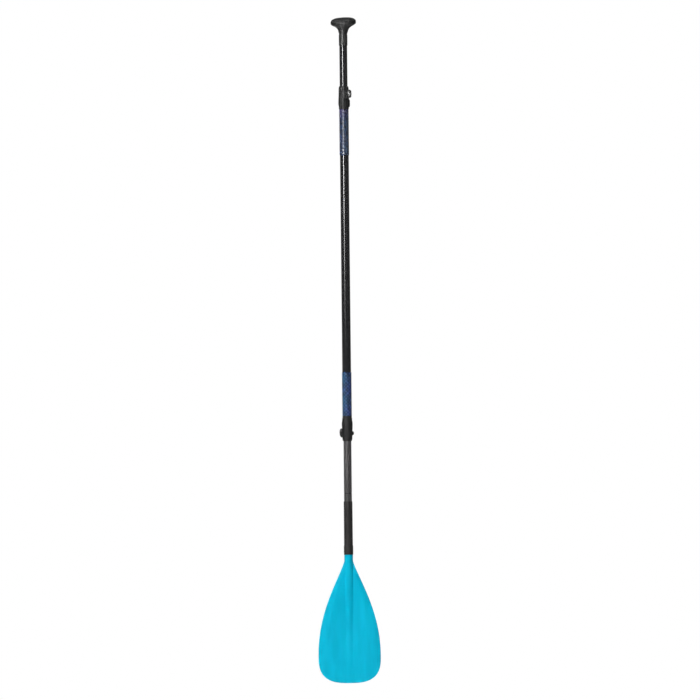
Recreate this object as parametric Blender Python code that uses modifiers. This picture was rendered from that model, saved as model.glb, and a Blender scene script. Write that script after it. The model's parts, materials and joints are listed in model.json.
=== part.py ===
"""Three-piece telescopic paddle: handle section, middle section with a clamp at each end, blade section.

Metres, +Z up the shaft. The origin is on the shaft's axis, halfway along the middle tube. The blade's
scooped face looks along -Y, and its width runs along X.
"""

import math

import bmesh
import bpy
from mathutils import Matrix, Vector

# ---- driving dimensions -------------------------------------------------------------------------
GAP = 0.0003  # left between pieces that touch on the real paddle
OUTER_TUBE_RADIUS = 0.0140  # the middle tube, 28 mm
INNER_TUBE_RADIUS = 0.0125  # the handle tube and the blade tube, 25 mm
INNER_TUBE_BORE = 0.0112
SLIDING_BORE = INNER_TUBE_RADIUS + GAP  # what the inner tubes slide in

MIDDLE_TUBE_LENGTH = 1.050
HANDLE_TUBE_SHOWING = 0.1305  # from the upper clamp's mouth to the grip
HANDLE_TUBE_INSIDE = 0.280  # from the upper clamp's mouth down to the tube's end
BLADE_TUBE_SHOWING = 0.1936  # from the lower clamp's mouth to the black sleeve
BLADE_TUBE_INSIDE = 0.120
GRIP_TWIST = math.radians(10)  # how far the handle is turned about the shaft at rest

# Clamp, measured down from its mouth. Its bolt runs along Y beside the shaft.
CLAMP_LENGTH = 0.074
CLAMP_SHOULDER = 0.042  # depth at which the middle tube's end sits
CLAMP_SLIT_LENGTH = 0.040
CLAMP_SLIT_WIDTH = 0.0025
CLAMP_PROFILE = [  # (depth from the mouth, outer radius)
    (0.0000, 0.0148),
    (0.0045, 0.0156),
    (0.0120, 0.0161),
    (0.0300, 0.0165),
    (0.0460, 0.0172),
    (0.0560, 0.0174),
    (0.0640, 0.0164),
    (0.0740, 0.0156),
]
BOLT_X = 0.0186
BOLT_DEPTH = 0.0242
BOLT_RADIUS = 0.0025
BOLT_HOLE_RADIUS = BOLT_RADIUS + GAP
EAR_FACE = 0.0072  # half the thickness of the two ears together
EAR_HALF_HEIGHT = 0.0125
EAR_REACH = 0.0058  # past the bolt's axis
RIB_SPAN = (0.0425, 0.0665)  # depths of the rib that stiffens the skirt below the ears
RIB_REACH = 0.0196
RIB_HALF_THICKNESS = 0.0065
POCKET_RADIUS = 0.0069  # clears the nut and the washers on each side
WASHER_RADIUS = 0.0058
WASHER_THICKNESS = 0.0011

# Cam lever. It turns on a barrel across the bolt's end, and its arm wraps round the collar.
BARREL_Y = -0.0157
BARREL_RADIUS = 0.0040
BARREL_HALF_LENGTH = 0.0110
CAM_RADIUS = 0.0062
CAM_OFFSET = 0.0004
CAM_ANGLE = math.radians(85)  # direction of the cam's high side while the lever is shut
LEVER_BORE_RADIUS = BARREL_RADIUS + GAP
ARM_INNER_RADIUS = 0.0174
ARM_OUTER_RADIUS = 0.0248  # at the crown of its outer face, which is an ellipse up and down
ARM_EDGE_RADIUS = 0.0175
ARM_CROWN_HALF_HEIGHT = 0.0162
ARM_CROWN_DROP = 0.0026  # from the bolt's axis to the crown's middle
ARM_ROOT_Y = -0.0130
LEVER_FREE_END = -0.0010
LEVER_HALF_HEIGHT = 0.0130
LEVER_CORNER = 0.0080
LEVER_FLARE = 0.28  # how much deeper the free end is than the root, on the skirt's side
LEVER_SLOT_HALF_HEIGHT = 0.0031
LEVER_SLOT_ANGLES = (-10, 90)  # the bolt's directions from the barrel, in degrees, from open to shut
LEVER_WINDOW_RADIUS = 0.0030
CAM_FACE = BARREL_Y + CAM_RADIUS + CAM_OFFSET + GAP
CAM_WASHER_THICKNESS = -EAR_FACE - GAP - CAM_FACE

# Domed thumb nut at the bolt's other end
NUT_RADIUS = 0.0066
NUT_SHOULDER = 0.0174
NUT_TOP = 0.0212
NUT_HOLE_END = 0.0184
BOLT_END = 0.0180
BOLT_TIP = BARREL_Y - 0.8 * BARREL_RADIUS

# Grip sleeves on the middle tube
WRAP_RADIUS = 0.0150
UPPER_WRAP_LENGTH = 0.1465
LOWER_WRAP_LENGTH = 0.1450

# Grip: stations up from the foot of its cuff (height, half width, half depth).
GRIP_SOCKET_DEPTH = 0.030
GRIP_STATIONS = [
    (0.0000, 0.0137, 0.0137),
    (0.0325, 0.0137, 0.0137),
    (0.0375, 0.0133, 0.0133),
    (0.0440, 0.0152, 0.0140),
    (0.0510, 0.0173, 0.0150),
    (0.0560, 0.0209, 0.0162),
    (0.0600, 0.0260, 0.0178),
    (0.0640, 0.0338, 0.0193),
    (0.0680, 0.0395, 0.0205),
    (0.0725, 0.0412, 0.0210),
]
GRIP_HEAD_TOP = 0.0900
GRIP_DOME_POWER = 2.8
GRIP_HEAD_HEIGHTS = (0.040, 0.064)  # the head starts to lean at the first, and leans fully at the second
GRIP_HEAD_SHIFT = 0.0010
GRIP_HEAD_TILT = math.tan(math.radians(2.2))
PAD_FOOT = 0.0710  # where the soft pad starts
PAD_THICKNESS = 0.0020
GRIP_SEGMENTS = 24

# Blade, heights measured up from its tip
BLADE_HALF_WIDTH = 0.0998
BLADE_WIDEST = 0.087
BLADE_TIP_POWER = 2.85
BLADE_TIP_FLAT = 0.0006  # the tip is squared off this far up
BLADE_SHOULDER_POWERS = (2.1, 1.27)
NECK_FOOT = 0.395
NECK_TOP = 0.4426
NECK_RADIUS = 0.01375
SPIGOT_RADIUS = 0.0109
SPIGOT_LENGTH = 0.080
SPINE_END = 0.046
SPINE_WIDTH_POWER = 0.12
SPINE_HEIGHT_POWER = 0.78
SPINE_FLARE = 1.1  # how much further than a circle's the spine's flanks spread at its lower end
PLATE_HALF_THICKNESS = 0.0023
EDGE_HALF_THICKNESS = 0.0010
SCOOP = 0.0115  # how far the folds stand forward of the middle
SCOOP_END = 0.200  # the scoop flattens out from here to the tip
FOLD = 0.70  # share of the half width at which the face folds back towards its rim
FOLD_SHARPNESS = 8
RIM_BACK = 0.45  # how much of the scoop the rim falls back
SCOOP_POWER = 1.4
CANT = math.tan(math.radians(8))
CANT_BEND = 0.040
BLADE_ROWS = 28
SPINE_COLUMNS = 5  # on each side
PLATE_COLUMNS = 7

# Sleeve over the joint of the blade and its tube, heights from the blade's tip
SLEEVE_FOOT = 0.4147
SLEEVE_LENGTH = 0.1703
SLEEVE_RADIUS_TOP = 0.01365
SLEEVE_RADIUS_LOW = 0.0140
SLEEVE_RADIUS_NECK = 0.0149
SLEEVE_STEP = 0.0030

# Plugs that close the inner tubes, with the glide ring in their groove
PLUG_SPIGOT_LENGTH = 0.020
PLUG_FLANGE_RADIUS = 0.0123
PLUG_FLANGE = 0.0020
PLUG_WAIST_RADIUS = 0.0095
RING_HEIGHT = 0.0060

TURNED_STEPS = 32

# ---- places along the shaft, worked out from the sizes above ------------------------------------
TUBE_END = MIDDLE_TUBE_LENGTH / 2
MOUTH = TUBE_END + GAP + CLAMP_SHOULDER
GRIP_FOOT = MOUTH + HANDLE_TUBE_SHOWING
HANDLE_TUBE_FOOT = MOUTH - HANDLE_TUBE_INSIDE
SLEEVE_TOP = -MOUTH - BLADE_TUBE_SHOWING
BLADE_TUBE_TOP = -MOUTH + BLADE_TUBE_INSIDE
BLADE_TIP = SLEEVE_TOP - SLEEVE_LENGTH - SLEEVE_FOOT
CLAMP_FOOT = MOUTH - CLAMP_LENGTH


# ---- scene helpers ------------------------------------------------------------------------------
def clear_scene():
    for obj in list(bpy.data.objects):
        bpy.data.objects.remove(obj, do_unlink=True)


def new_collection(name):
    collection = bpy.data.collections.new(name)
    bpy.context.scene.collection.children.link(collection)
    return collection


def material(name, colour, roughness, metallic=0.0):
    made = bpy.data.materials.new(name)
    made.use_nodes = True
    shader = made.node_tree.nodes["Principled BSDF"]
    shader.inputs["Base Color"].default_value = (*colour, 1.0)
    shader.inputs["Roughness"].default_value = roughness
    shader.inputs["Metallic"].default_value = metallic
    return made


def add_object(name, mesh, finish, parent=None):
    obj = bpy.data.objects.new(name, mesh)
    paddle.objects.link(obj)
    obj.parent = parent
    obj.data.materials.clear()
    obj.data.materials.append(finish)
    return obj


def helper(name, mesh):
    """A cutter or a building block, kept out of the render."""
    obj = bpy.data.objects.new(name, mesh)
    cutters.objects.link(obj)
    obj.hide_render = True
    obj.display_type = "WIRE"
    return obj


def evaluated_mesh(obj):
    """The object's mesh with its modifiers applied."""
    graph = bpy.context.evaluated_depsgraph_get()
    graph.update()
    return bpy.data.meshes.new_from_object(obj.evaluated_get(graph))


def boolean(obj, other, operation):
    modifier = obj.modifiers.new(operation.title(), "BOOLEAN")
    modifier.operation = operation
    modifier.solver = "EXACT"
    modifier.object = other


def shade_by_angle(mesh, degrees=40):
    mesh.shade_smooth()
    mesh.set_sharp_from_angle(angle=math.radians(degrees))


# ---- shapes -------------------------------------------------------------------------------------
def turned_mesh(name, profile, closed=True, steps=TURNED_STEPS):
    """A profile of (radius, height) turned about Z, listed down its outer side.

    A closed one is a ring's section.
    """
    mesh = bpy.data.meshes.new(name)
    count = len(profile)
    edges = [(i, i + 1) for i in range(count - 1)]
    if closed:
        edges.append((count - 1, 0))
    mesh.from_pydata([(radius, 0, height) for radius, height in profile], edges, [])
    turning = bpy.data.objects.new(name, mesh)
    cutters.objects.link(turning)
    screw = turning.modifiers.new("Screw", "SCREW")
    screw.axis = "Z"
    screw.steps = steps
    screw.render_steps = steps
    screw.use_merge_vertices = True
    screw.merge_threshold = 0.00001
    made = evaluated_mesh(turning)
    bpy.data.objects.remove(turning)
    shade_by_angle(made)
    return made


def tube_mesh(name, outer, inner, bottom, top):
    return turned_mesh(name, [(outer, top), (outer, bottom), (inner, bottom), (inner, top)])


def rod_mesh(name, radius, bottom, top, steps=TURNED_STEPS):
    return turned_mesh(name, [(0, top), (radius, top), (radius, bottom), (0, bottom)], False, steps)


def along_y(mesh):
    """Turns a mesh made about Z so that its height runs along Y, and moves it onto the bolt's axis."""
    mesh.transform(Matrix.Translation((BOLT_X, 0, -BOLT_DEPTH)) @ Matrix.Rotation(math.radians(-90), 4, "X"))
    return mesh


def rounded_rectangle(left, right, bottom, top, corner, steps=5):
    points = []
    centres = [(right, top, 0), (left, top, 90), (left, bottom, 180), (right, bottom, 270)]
    for x, z, start in centres:
        x += corner if x == left else -corner
        z += corner if z == bottom else -corner
        for i in range(steps + 1):
            angle = math.radians(start + 90 * i / steps)
            points.append((x + corner * math.cos(angle), z + corner * math.sin(angle)))
    return points


def slab_mesh(name, outline, near, far, edge=0.0):
    """A flat outline in X and Z, filled from Y = near to Y = far, with its edges rounded by edge."""
    curve = bpy.data.curves.new(name, "CURVE")
    curve.dimensions = "2D"
    curve.fill_mode = "BOTH"
    curve.extrude = (far - near) / 2
    spline = curve.splines.new("POLY")
    spline.points.add(len(outline) - 1)
    for point, (x, z) in zip(spline.points, outline):
        point.co = (x, z, 0, 1)
    spline.use_cyclic_u = True
    drawing = bpy.data.objects.new(name, curve)
    cutters.objects.link(drawing)
    mesh = evaluated_mesh(drawing)
    bpy.data.objects.remove(drawing)
    mesh.transform(Matrix.Translation((0, (near + far) / 2, 0)) @ Matrix.Rotation(math.radians(90), 4, "X"))
    work = bmesh.new()
    work.from_mesh(mesh)
    bmesh.ops.remove_doubles(work, verts=work.verts, dist=0.000001)
    if edge:
        level = [e for e in work.edges if abs(e.verts[0].co.y - e.verts[1].co.y) < 1e-6]
        rims = [e for e in level if e.calc_face_angle(0) > 1]
        bmesh.ops.bevel(work, geom=rims, offset=edge, segments=2, profile=0.5, affect="EDGES")
    bmesh.ops.recalc_face_normals(work, faces=work.faces)
    work.to_mesh(mesh)
    work.free()
    shade_by_angle(mesh)
    return mesh


def loft_mesh(name, rings):
    """A closed skin over rings of the same number of points, with its two ends capped."""
    work = bmesh.new()
    rows = [[work.verts.new(point) for point in ring] for ring in rings]
    count = len(rows[0])
    for lower, upper in zip(rows, rows[1:]):
        for i in range(count):
            following = (i + 1) % count
            work.faces.new((lower[i], lower[following], upper[following], upper[i]))
    work.faces.new(reversed(rows[0]))
    work.faces.new(rows[-1])
    bmesh.ops.recalc_face_normals(work, faces=work.faces)
    mesh = bpy.data.meshes.new(name)
    work.to_mesh(mesh)
    work.free()
    shade_by_angle(mesh)
    return mesh


def smooth_through(points, at):
    """The value at `at` of a smooth curve through (position, value, ...) points, as a tuple of values."""
    at = min(max(at, points[0][0]), points[-1][0])
    index = max(i for i, point in enumerate(points[:-1]) if point[0] <= at)
    start, end = points[index], points[index + 1]
    before = points[max(index - 1, 0)]
    after = points[min(index + 2, len(points) - 1)]
    span = end[0] - start[0]
    t = (at - start[0]) / span
    values = []
    for k in range(1, len(start)):
        slope_in = span * (end[k] - before[k]) / (end[0] - before[0])
        slope_out = span * (after[k] - start[k]) / (after[0] - start[0])
        value = (2 * t**3 - 3 * t**2 + 1) * start[k] + (t**3 - 2 * t**2 + t) * slope_in
        value += (3 * t**2 - 2 * t**3) * end[k] + (t**3 - t**2) * slope_out
        values.append(value)
    return tuple(values)


def spaced(start, end, count):
    return [start + (end - start) * i / count for i in range(count + 1)]


# ---- clamps -------------------------------------------------------------------------------------
def collar_mesh():
    """A skirt on the middle tube, and a slit mouth with two ears that the bolt pulls together."""
    depths = spaced(0, CLAMP_LENGTH, 12)
    skin = [(smooth_through(CLAMP_PROFILE, depth)[0], -depth) for depth in depths]
    body = helper("collar_body", turned_mesh("collar_body", [(0, 0), *skin, (0, -CLAMP_LENGTH)], False))

    ears = rounded_rectangle(
        SLIDING_BORE * 0.6,
        BOLT_X + EAR_REACH,
        -BOLT_DEPTH - EAR_HALF_HEIGHT,
        -BOLT_DEPTH + EAR_HALF_HEIGHT,
        0.0055,
    )
    ear_block = helper("ears", slab_mesh("ears", ears, -EAR_FACE, EAR_FACE, 0.0006))
    rib = rounded_rectangle(SLIDING_BORE * 0.6, RIB_REACH, -RIB_SPAN[1], -RIB_SPAN[0], 0.0040)
    rib_block = helper("rib", slab_mesh("rib", rib, -RIB_HALF_THICKNESS, RIB_HALF_THICKNESS, 0.0006))
    bore = [
        (0, 0.001),
        (SLIDING_BORE, 0.001),
        (SLIDING_BORE, -CLAMP_SHOULDER),
        (OUTER_TUBE_RADIUS + GAP, -CLAMP_SHOULDER),
        (OUTER_TUBE_RADIUS + GAP, -CLAMP_LENGTH - 0.001),
        (0, -CLAMP_LENGTH - 0.001),
    ]
    bore_cutter = helper("bore_cutter", turned_mesh("bore_cutter", bore, False))
    half_slit = CLAMP_SLIT_WIDTH / 2
    slit = rounded_rectangle(0.006, 0.030, -CLAMP_SLIT_LENGTH, 0.002, 0.0005)
    slit_cutter = helper("slit_cutter", slab_mesh("slit_cutter", slit, -half_slit, half_slit))
    hole = along_y(rod_mesh("bolt_hole", BOLT_HOLE_RADIUS, -0.012, 0.012, 24))
    hole_cutter = helper("bolt_hole", hole)
    boolean(body, ear_block, "UNION")
    boolean(body, rib_block, "UNION")
    boolean(body, hole_cutter, "DIFFERENCE")
    for side in (1, -1):
        ends = sorted((side * EAR_FACE, side * 2 * OUTER_TUBE_RADIUS))
        pocket = helper("pocket", along_y(rod_mesh("pocket", POCKET_RADIUS, *ends, 32)))
        boolean(body, pocket, "DIFFERENCE")
    boolean(body, bore_cutter, "DIFFERENCE")
    boolean(body, slit_cutter, "DIFFERENCE")
    mesh = evaluated_mesh(body)
    shade_by_angle(mesh, 30)
    return mesh


def at_barrel(mesh):
    """Moves a mesh made about Z onto the barrel's axis."""
    mesh.transform(Matrix.Translation((BOLT_X, BARREL_Y, -BOLT_DEPTH)))
    return mesh


def swept_slot_mesh():
    """The wedge about the barrel that the bolt passes through while the lever turns."""
    reach = 2 * CAM_RADIUS
    first, last = [math.radians(angle) for angle in LEVER_SLOT_ANGLES]
    start_x, start_y = BOLT_HOLE_RADIUS * math.sin(first), -BOLT_HOLE_RADIUS * math.cos(first)
    end_x, end_y = -BOLT_HOLE_RADIUS * math.sin(last), BOLT_HOLE_RADIUS * math.cos(last)
    outline = [(start_x, start_y), (start_x + reach * math.cos(first), start_y + reach * math.sin(first))]
    for angle in spaced(first, last, 6):
        outline.append((reach * math.cos(angle), reach * math.sin(angle)))
    outline += [(end_x + reach * math.cos(last), end_y + reach * math.sin(last)), (end_x, end_y)]
    mesh = slab_mesh("lever_slot", outline, -LEVER_SLOT_HALF_HEIGHT, LEVER_SLOT_HALF_HEIGHT)
    mesh.transform(Matrix.Rotation(math.radians(-90), 4, "X"))
    return at_barrel(mesh)


def lever_outline():
    """Round corners, and deeper on the skirt's side towards the free end."""
    root_end = BOLT_X + CAM_RADIUS
    half = LEVER_HALF_HEIGHT
    outline = []
    for x, height in rounded_rectangle(LEVER_FREE_END, root_end, -half, half, LEVER_CORNER, 8):
        flare = LEVER_FLARE * (root_end - x) / (root_end - LEVER_FREE_END) if height < 0 else 0
        outline.append((x, height * (1 + flare) - BOLT_DEPTH))
    return outline


def arm_ring_mesh():
    """A ring round the collar with a crowned outer face."""
    reach = 0.98 * ARM_CROWN_HALF_HEIGHT
    section = [(ARM_INNER_RADIUS, reach)]
    for height in spaced(reach, -reach, 10):
        crown = math.sqrt(1 - (height / ARM_CROWN_HALF_HEIGHT) ** 2)
        section.append((ARM_EDGE_RADIUS + (ARM_OUTER_RADIUS - ARM_EDGE_RADIUS) * crown, height))
    mesh = turned_mesh("arm_ring", [*section, (ARM_INNER_RADIUS, -reach)])
    mesh.transform(Matrix.Translation((0, 0, -BOLT_DEPTH - ARM_CROWN_DROP)))
    return mesh


def lever_mesh():
    """A cam bored for the barrel, with an arm that wraps round the collar and rounded corners all round."""
    half = LEVER_HALF_HEIGHT * (1 + LEVER_FLARE)
    cam = rod_mesh("lever", CAM_RADIUS, -half, half)
    cam.transform(Matrix.Translation((CAM_OFFSET * math.cos(CAM_ANGLE), CAM_OFFSET * math.sin(CAM_ANGLE), 0)))
    lever = helper("lever", at_barrel(cam))
    arm = helper("arm", arm_ring_mesh())
    far = BOLT_X + 2 * CAM_RADIUS
    arm_side = rounded_rectangle(-far, far, -BOLT_DEPTH - 2 * half, -BOLT_DEPTH + 2 * half, 0.001)
    boolean(arm, helper("arm_side", slab_mesh("arm_side", arm_side, -far, ARM_ROOT_Y)), "INTERSECT")
    outline = slab_mesh("lever_outline", lever_outline(), -far, 0)
    boolean(lever, arm, "UNION")
    boolean(lever, helper("lever_outline", outline), "INTERSECT")
    bore = at_barrel(rod_mesh("lever_bore", LEVER_BORE_RADIUS, -2 * half, 2 * half))
    boolean(lever, helper("lever_bore", bore), "DIFFERENCE")
    boolean(lever, helper("lever_slot", swept_slot_mesh()), "DIFFERENCE")
    window = along_y(rod_mesh("lever_window", LEVER_WINDOW_RADIUS, -far, BARREL_Y, 24))
    boolean(lever, helper("lever_window", window), "DIFFERENCE")
    mesh = evaluated_mesh(lever)
    shade_by_angle(mesh, 30)
    return mesh


def barrel_mesh():
    """The cross barrel that the lever turns on, with the bolt's hole through it."""
    rod = rod_mesh("barrel", BARREL_RADIUS, -BARREL_HALF_LENGTH, BARREL_HALF_LENGTH)
    barrel = helper("barrel", at_barrel(rod))
    hole = along_y(rod_mesh("barrel_hole", BOLT_HOLE_RADIUS, -2 * CAM_RADIUS + BARREL_Y, 0, 24))
    boolean(barrel, helper("barrel_hole", hole), "DIFFERENCE")
    mesh = evaluated_mesh(barrel)
    shade_by_angle(mesh, 30)
    return mesh


def bolt_mesh():
    return along_y(rod_mesh("bolt", BOLT_RADIUS, BOLT_TIP, BOLT_END, 24))


def nut_mesh():
    foot = EAR_FACE + 2 * GAP + WASHER_THICKNESS
    dome_height = NUT_TOP - NUT_SHOULDER
    dome = []
    for angle in spaced(90, 0, 6):
        turn = math.radians(angle)
        dome.append((NUT_RADIUS * math.cos(turn), NUT_SHOULDER + dome_height * math.sin(turn)))
    blind_hole = [(BOLT_HOLE_RADIUS, foot), (BOLT_HOLE_RADIUS, NUT_HOLE_END), (0, NUT_HOLE_END)]
    profile = [*dome, (NUT_RADIUS, foot), *blind_hole]
    return along_y(turned_mesh("thumb_nut", profile, False, 32))


def washer_mesh():
    near = EAR_FACE + GAP
    return along_y(tube_mesh("nut_washer", WASHER_RADIUS, BOLT_HOLE_RADIUS, near, near + WASHER_THICKNESS))


def cam_washer_mesh():
    near = -EAR_FACE - GAP
    return along_y(tube_mesh("cam_washer", CAM_RADIUS, BOLT_HOLE_RADIUS, near - CAM_WASHER_THICKNESS, near))


def build_clamps():
    """Two copies of one clamp. The lower one is upside down, with its ears behind the shaft."""
    meshes = {
        "collar": (collar_mesh(), clamp_nylon),
        "lever": (lever_mesh(), lever_nylon),
        "barrel": (barrel_mesh(), steel),
        "bolt": (bolt_mesh(), steel),
        "nut": (nut_mesh(), lever_nylon),
        "nut_washer": (washer_mesh(), steel),
        "cam_washer": (cam_washer_mesh(), acetal),
    }
    places = {
        "upper_clamp": ((0, 0, MOUTH), (0, 0, 0)),
        "lower_clamp": ((0, 0, -MOUTH), (math.pi, 0, math.pi / 2)),
    }
    for clamp, (location, rotation) in places.items():
        frame = bpy.data.objects.new(clamp, None)
        paddle.objects.link(frame)
        frame.location = location
        frame.rotation_euler = rotation
        for piece, (mesh, finish) in meshes.items():
            add_object(f"{clamp}_{piece}", mesh, finish, frame)


# ---- tubes, sleeves and plugs -------------------------------------------------------------------
def build_middle_section():
    tube = tube_mesh("middle_tube", OUTER_TUBE_RADIUS, SLIDING_BORE, -TUBE_END, TUBE_END)
    add_object("middle_tube", tube, black_tube)
    bore = OUTER_TUBE_RADIUS + GAP
    top = CLAMP_FOOT - GAP
    upper = tube_mesh("upper_grip_wrap", WRAP_RADIUS, bore, top - UPPER_WRAP_LENGTH, top)
    add_object("upper_grip_wrap", upper, blue_wrap)
    lower = tube_mesh("lower_grip_wrap", WRAP_RADIUS, bore, -top, -top + LOWER_WRAP_LENGTH)
    add_object("lower_grip_wrap", lower, blue_wrap)


def plug_mesh(name):
    """A spigot above height 0, in the tube, and below it a groove between two flanges."""
    inside = INNER_TUBE_BORE - GAP
    groove = RING_HEIGHT + 2 * GAP
    foot = -2 * PLUG_FLANGE - groove
    profile = [
        (0, PLUG_SPIGOT_LENGTH),
        (inside - 0.001, PLUG_SPIGOT_LENGTH),
        (inside, PLUG_SPIGOT_LENGTH - 0.002),
        (inside, 0),
        (PLUG_FLANGE_RADIUS, 0),
        (PLUG_FLANGE_RADIUS, -PLUG_FLANGE),
        (PLUG_WAIST_RADIUS, -PLUG_FLANGE),
        (PLUG_WAIST_RADIUS, -PLUG_FLANGE - groove),
        (PLUG_FLANGE_RADIUS, -PLUG_FLANGE - groove),
        (PLUG_FLANGE_RADIUS - 0.0010, foot),
        (0, foot),
    ]
    return turned_mesh(name, profile, False)


def ring_mesh(name):
    top = -PLUG_FLANGE - GAP
    return tube_mesh(name, SLIDING_BORE - GAP, PLUG_WAIST_RADIUS + GAP, top - RING_HEIGHT, top)


def build_plug(section, tube_end, upside_down):
    """The plug and glide ring at an inner tube's end."""
    frame = bpy.data.objects.new(f"{section}_tube_end", None)
    paddle.objects.link(frame)
    frame.location = (0, 0, tube_end)
    frame.rotation_euler = (math.pi if upside_down else 0, 0, 0)
    add_object(f"{section}_tube_plug", plug_mesh(f"{section}_tube_plug"), plug_plastic, frame)
    add_object(f"{section}_glide_ring", ring_mesh(f"{section}_glide_ring"), acetal, frame)


# ---- grip ---------------------------------------------------------------------------------------
def grip_half_sizes(height):
    """Half width and half depth of the grip at a height above the foot of its cuff."""
    widest = GRIP_STATIONS[-1]
    if height <= widest[0]:
        return smooth_through(GRIP_STATIONS, height)
    rise = min((height - widest[0]) / (GRIP_HEAD_TOP - widest[0]), 1)
    share = (1 - rise**GRIP_DOME_POWER) ** (1 / GRIP_DOME_POWER)
    return widest[1] * share, widest[2] * share


def oval_ring(half_width, half_depth, height):
    """An oval that leans to one side of the shaft as it passes into the head."""
    start, end = GRIP_HEAD_HEIGHTS
    lean = min(max((height - start) / (end - start), 0), 1)
    ring = []
    for i in range(GRIP_SEGMENTS):
        angle = math.tau * i / GRIP_SEGMENTS
        x = half_width * math.cos(angle)
        place = (x + GRIP_HEAD_SHIFT * lean, half_depth * math.sin(angle), height + GRIP_HEAD_TILT * lean * x)
        ring.append(Vector(place))
    return ring


def grip_ring(height, inset=0.0):
    half_width, half_depth = grip_half_sizes(height)
    return oval_ring(half_width - inset, half_depth - inset, height - inset)


def dome_heights(start, count):
    """Heights from start up to just under the top, closer together as the dome flattens."""
    top = GRIP_HEAD_TOP - 0.0003
    return [start + (top - start) * math.sin(math.pi / 2 * i / count) for i in range(count + 1)]


def build_grip():
    """A palm grip on a socket, with a soft pad set over the top of its head."""
    frame = bpy.data.objects.new("grip_frame", None)
    paddle.objects.link(frame)
    frame.location = (0, 0, GRIP_FOOT)
    frame.rotation_euler = (0, 0, -GRIP_TWIST)
    rings = [oval_ring(SLIDING_BORE, SLIDING_BORE, height) for height in (GRIP_SOCKET_DEPTH, 0)]
    rings += [grip_ring(height) for height in (0, 0.0325, 0.035)]
    rings += [grip_ring(height) for height in spaced(0.0375, PAD_FOOT - GAP, 10)]
    inset = PAD_THICKNESS + GAP
    rings += [grip_ring(height, inset) for height in dome_heights(PAD_FOOT + inset - GAP, 6)]
    add_object("palm_grip", loft_mesh("palm_grip", rings), grip_plastic, frame)

    heights = dome_heights(PAD_FOOT, 6)
    inner = [grip_ring(height, PAD_THICKNESS) for height in dome_heights(PAD_FOOT + PAD_THICKNESS, 6)]
    pad = [*reversed(inner), *[grip_ring(height) for height in heights]]
    add_object("palm_pad", loft_mesh("palm_pad", pad), soft_rubber, frame)


# ---- blade --------------------------------------------------------------------------------------
def blade_half_width(height):
    if height < BLADE_WIDEST:
        fall = 1 - height / BLADE_WIDEST
        return BLADE_HALF_WIDTH * (1 - fall**BLADE_TIP_POWER) ** (1 / BLADE_TIP_POWER)
    rise = min((height - BLADE_WIDEST) / (NECK_FOOT - BLADE_WIDEST), 1)
    first, second = BLADE_SHOULDER_POWERS
    return NECK_RADIUS + (BLADE_HALF_WIDTH - NECK_RADIUS) * (1 - rise**first) ** second


def scoop_share(across):
    """How far forward a place across the blade stands: it climbs to a fold, then falls back to the rim."""
    climbing = max((across / FOLD) ** SCOOP_POWER, 0.001)
    falling = 1 - RIM_BACK * (across - FOLD) / (1 - FOLD)
    return (climbing**-FOLD_SHARPNESS + falling**-FOLD_SHARPNESS) ** (-1 / FOLD_SHARPNESS)


def blade_middle(x, height):
    """How far behind the shaft's axis the middle surface lies: its cant, less its scoop."""
    below = max(NECK_FOOT - height, 0)
    cant = CANT * (math.hypot(below, CANT_BEND) - CANT_BEND)
    half_width = blade_half_width(height)
    widening = max(half_width - NECK_RADIUS, 0) / (BLADE_HALF_WIDTH - NECK_RADIUS)
    up = min(height / SCOOP_END, 1)
    depth = SCOOP * widening * up**2 * (3 - 2 * up)
    return cant - depth * scoop_share(abs(x) / half_width)


def blade_half_thickness(x, height):
    """A thin plate with a spine on it that grows into the round neck."""
    half_width = blade_half_width(height)
    plate = PLATE_HALF_THICKNESS - (PLATE_HALF_THICKNESS - EDGE_HALF_THICKNESS) * (x / half_width) ** 2
    rise = min(max((height - SPINE_END) / (NECK_FOOT - SPINE_END), 0), 1)
    plate *= 1 - rise**8
    spine_width = NECK_RADIUS * rise**SPINE_WIDTH_POWER
    if abs(x) >= spine_width:
        return max(plate, EDGE_HALF_THICKNESS)
    crest = PLATE_HALF_THICKNESS + (NECK_RADIUS - PLATE_HALF_THICKNESS) * rise**SPINE_HEIGHT_POWER
    bell = (1 - (x / spine_width) ** 2) ** (0.5 + SPINE_FLARE * (1 - rise**3))
    return max(plate + (crest - plate) * bell, EDGE_HALF_THICKNESS)


def blade_columns(half_width):
    """Places across the blade: close together on the spine, and closing up again towards the rims."""
    start = 0.9 * min(NECK_RADIUS, half_width)
    side = [start * i / SPINE_COLUMNS for i in range(SPINE_COLUMNS)]
    for i in range(PLATE_COLUMNS + 1):
        side.append(start + (half_width - start) * math.sin(math.pi / 2 * i / PLATE_COLUMNS))
    return [-x for x in reversed(side[1:])] + side


def blade_ring(height):
    front, back = [], []
    for x in blade_columns(blade_half_width(height)):
        middle, half = blade_middle(x, height), blade_half_thickness(x, height)
        front.append(Vector((x, middle - half, height)))
        back.append(Vector((x, middle + half, height)))
    return front + back[::-1]


def round_ring(radius, height):
    front, back = [], []
    for x in blade_columns(radius):
        half = max(math.sqrt(max(radius**2 - x**2, 0)), EDGE_HALF_THICKNESS)
        front.append(Vector((x, -half, height)))
        back.append(Vector((x, half, height)))
    return front + back[::-1]


def build_blade():
    low = [BLADE_TIP_FLAT + (BLADE_WIDEST - BLADE_TIP_FLAT) * share**2 for share in spaced(0, 1, 9)]
    high = spaced(BLADE_WIDEST, NECK_FOOT, BLADE_ROWS - 9)[1:]
    rings = [blade_ring(height) for height in low + high]
    rings.append(round_ring(NECK_RADIUS, NECK_TOP))
    rings.append(round_ring(SPIGOT_RADIUS, NECK_TOP))
    rings.append(round_ring(SPIGOT_RADIUS, NECK_TOP + SPIGOT_LENGTH))
    blade = add_object("blade", loft_mesh("blade", rings), turquoise)
    blade.location = (0, 0, BLADE_TIP)


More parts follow.
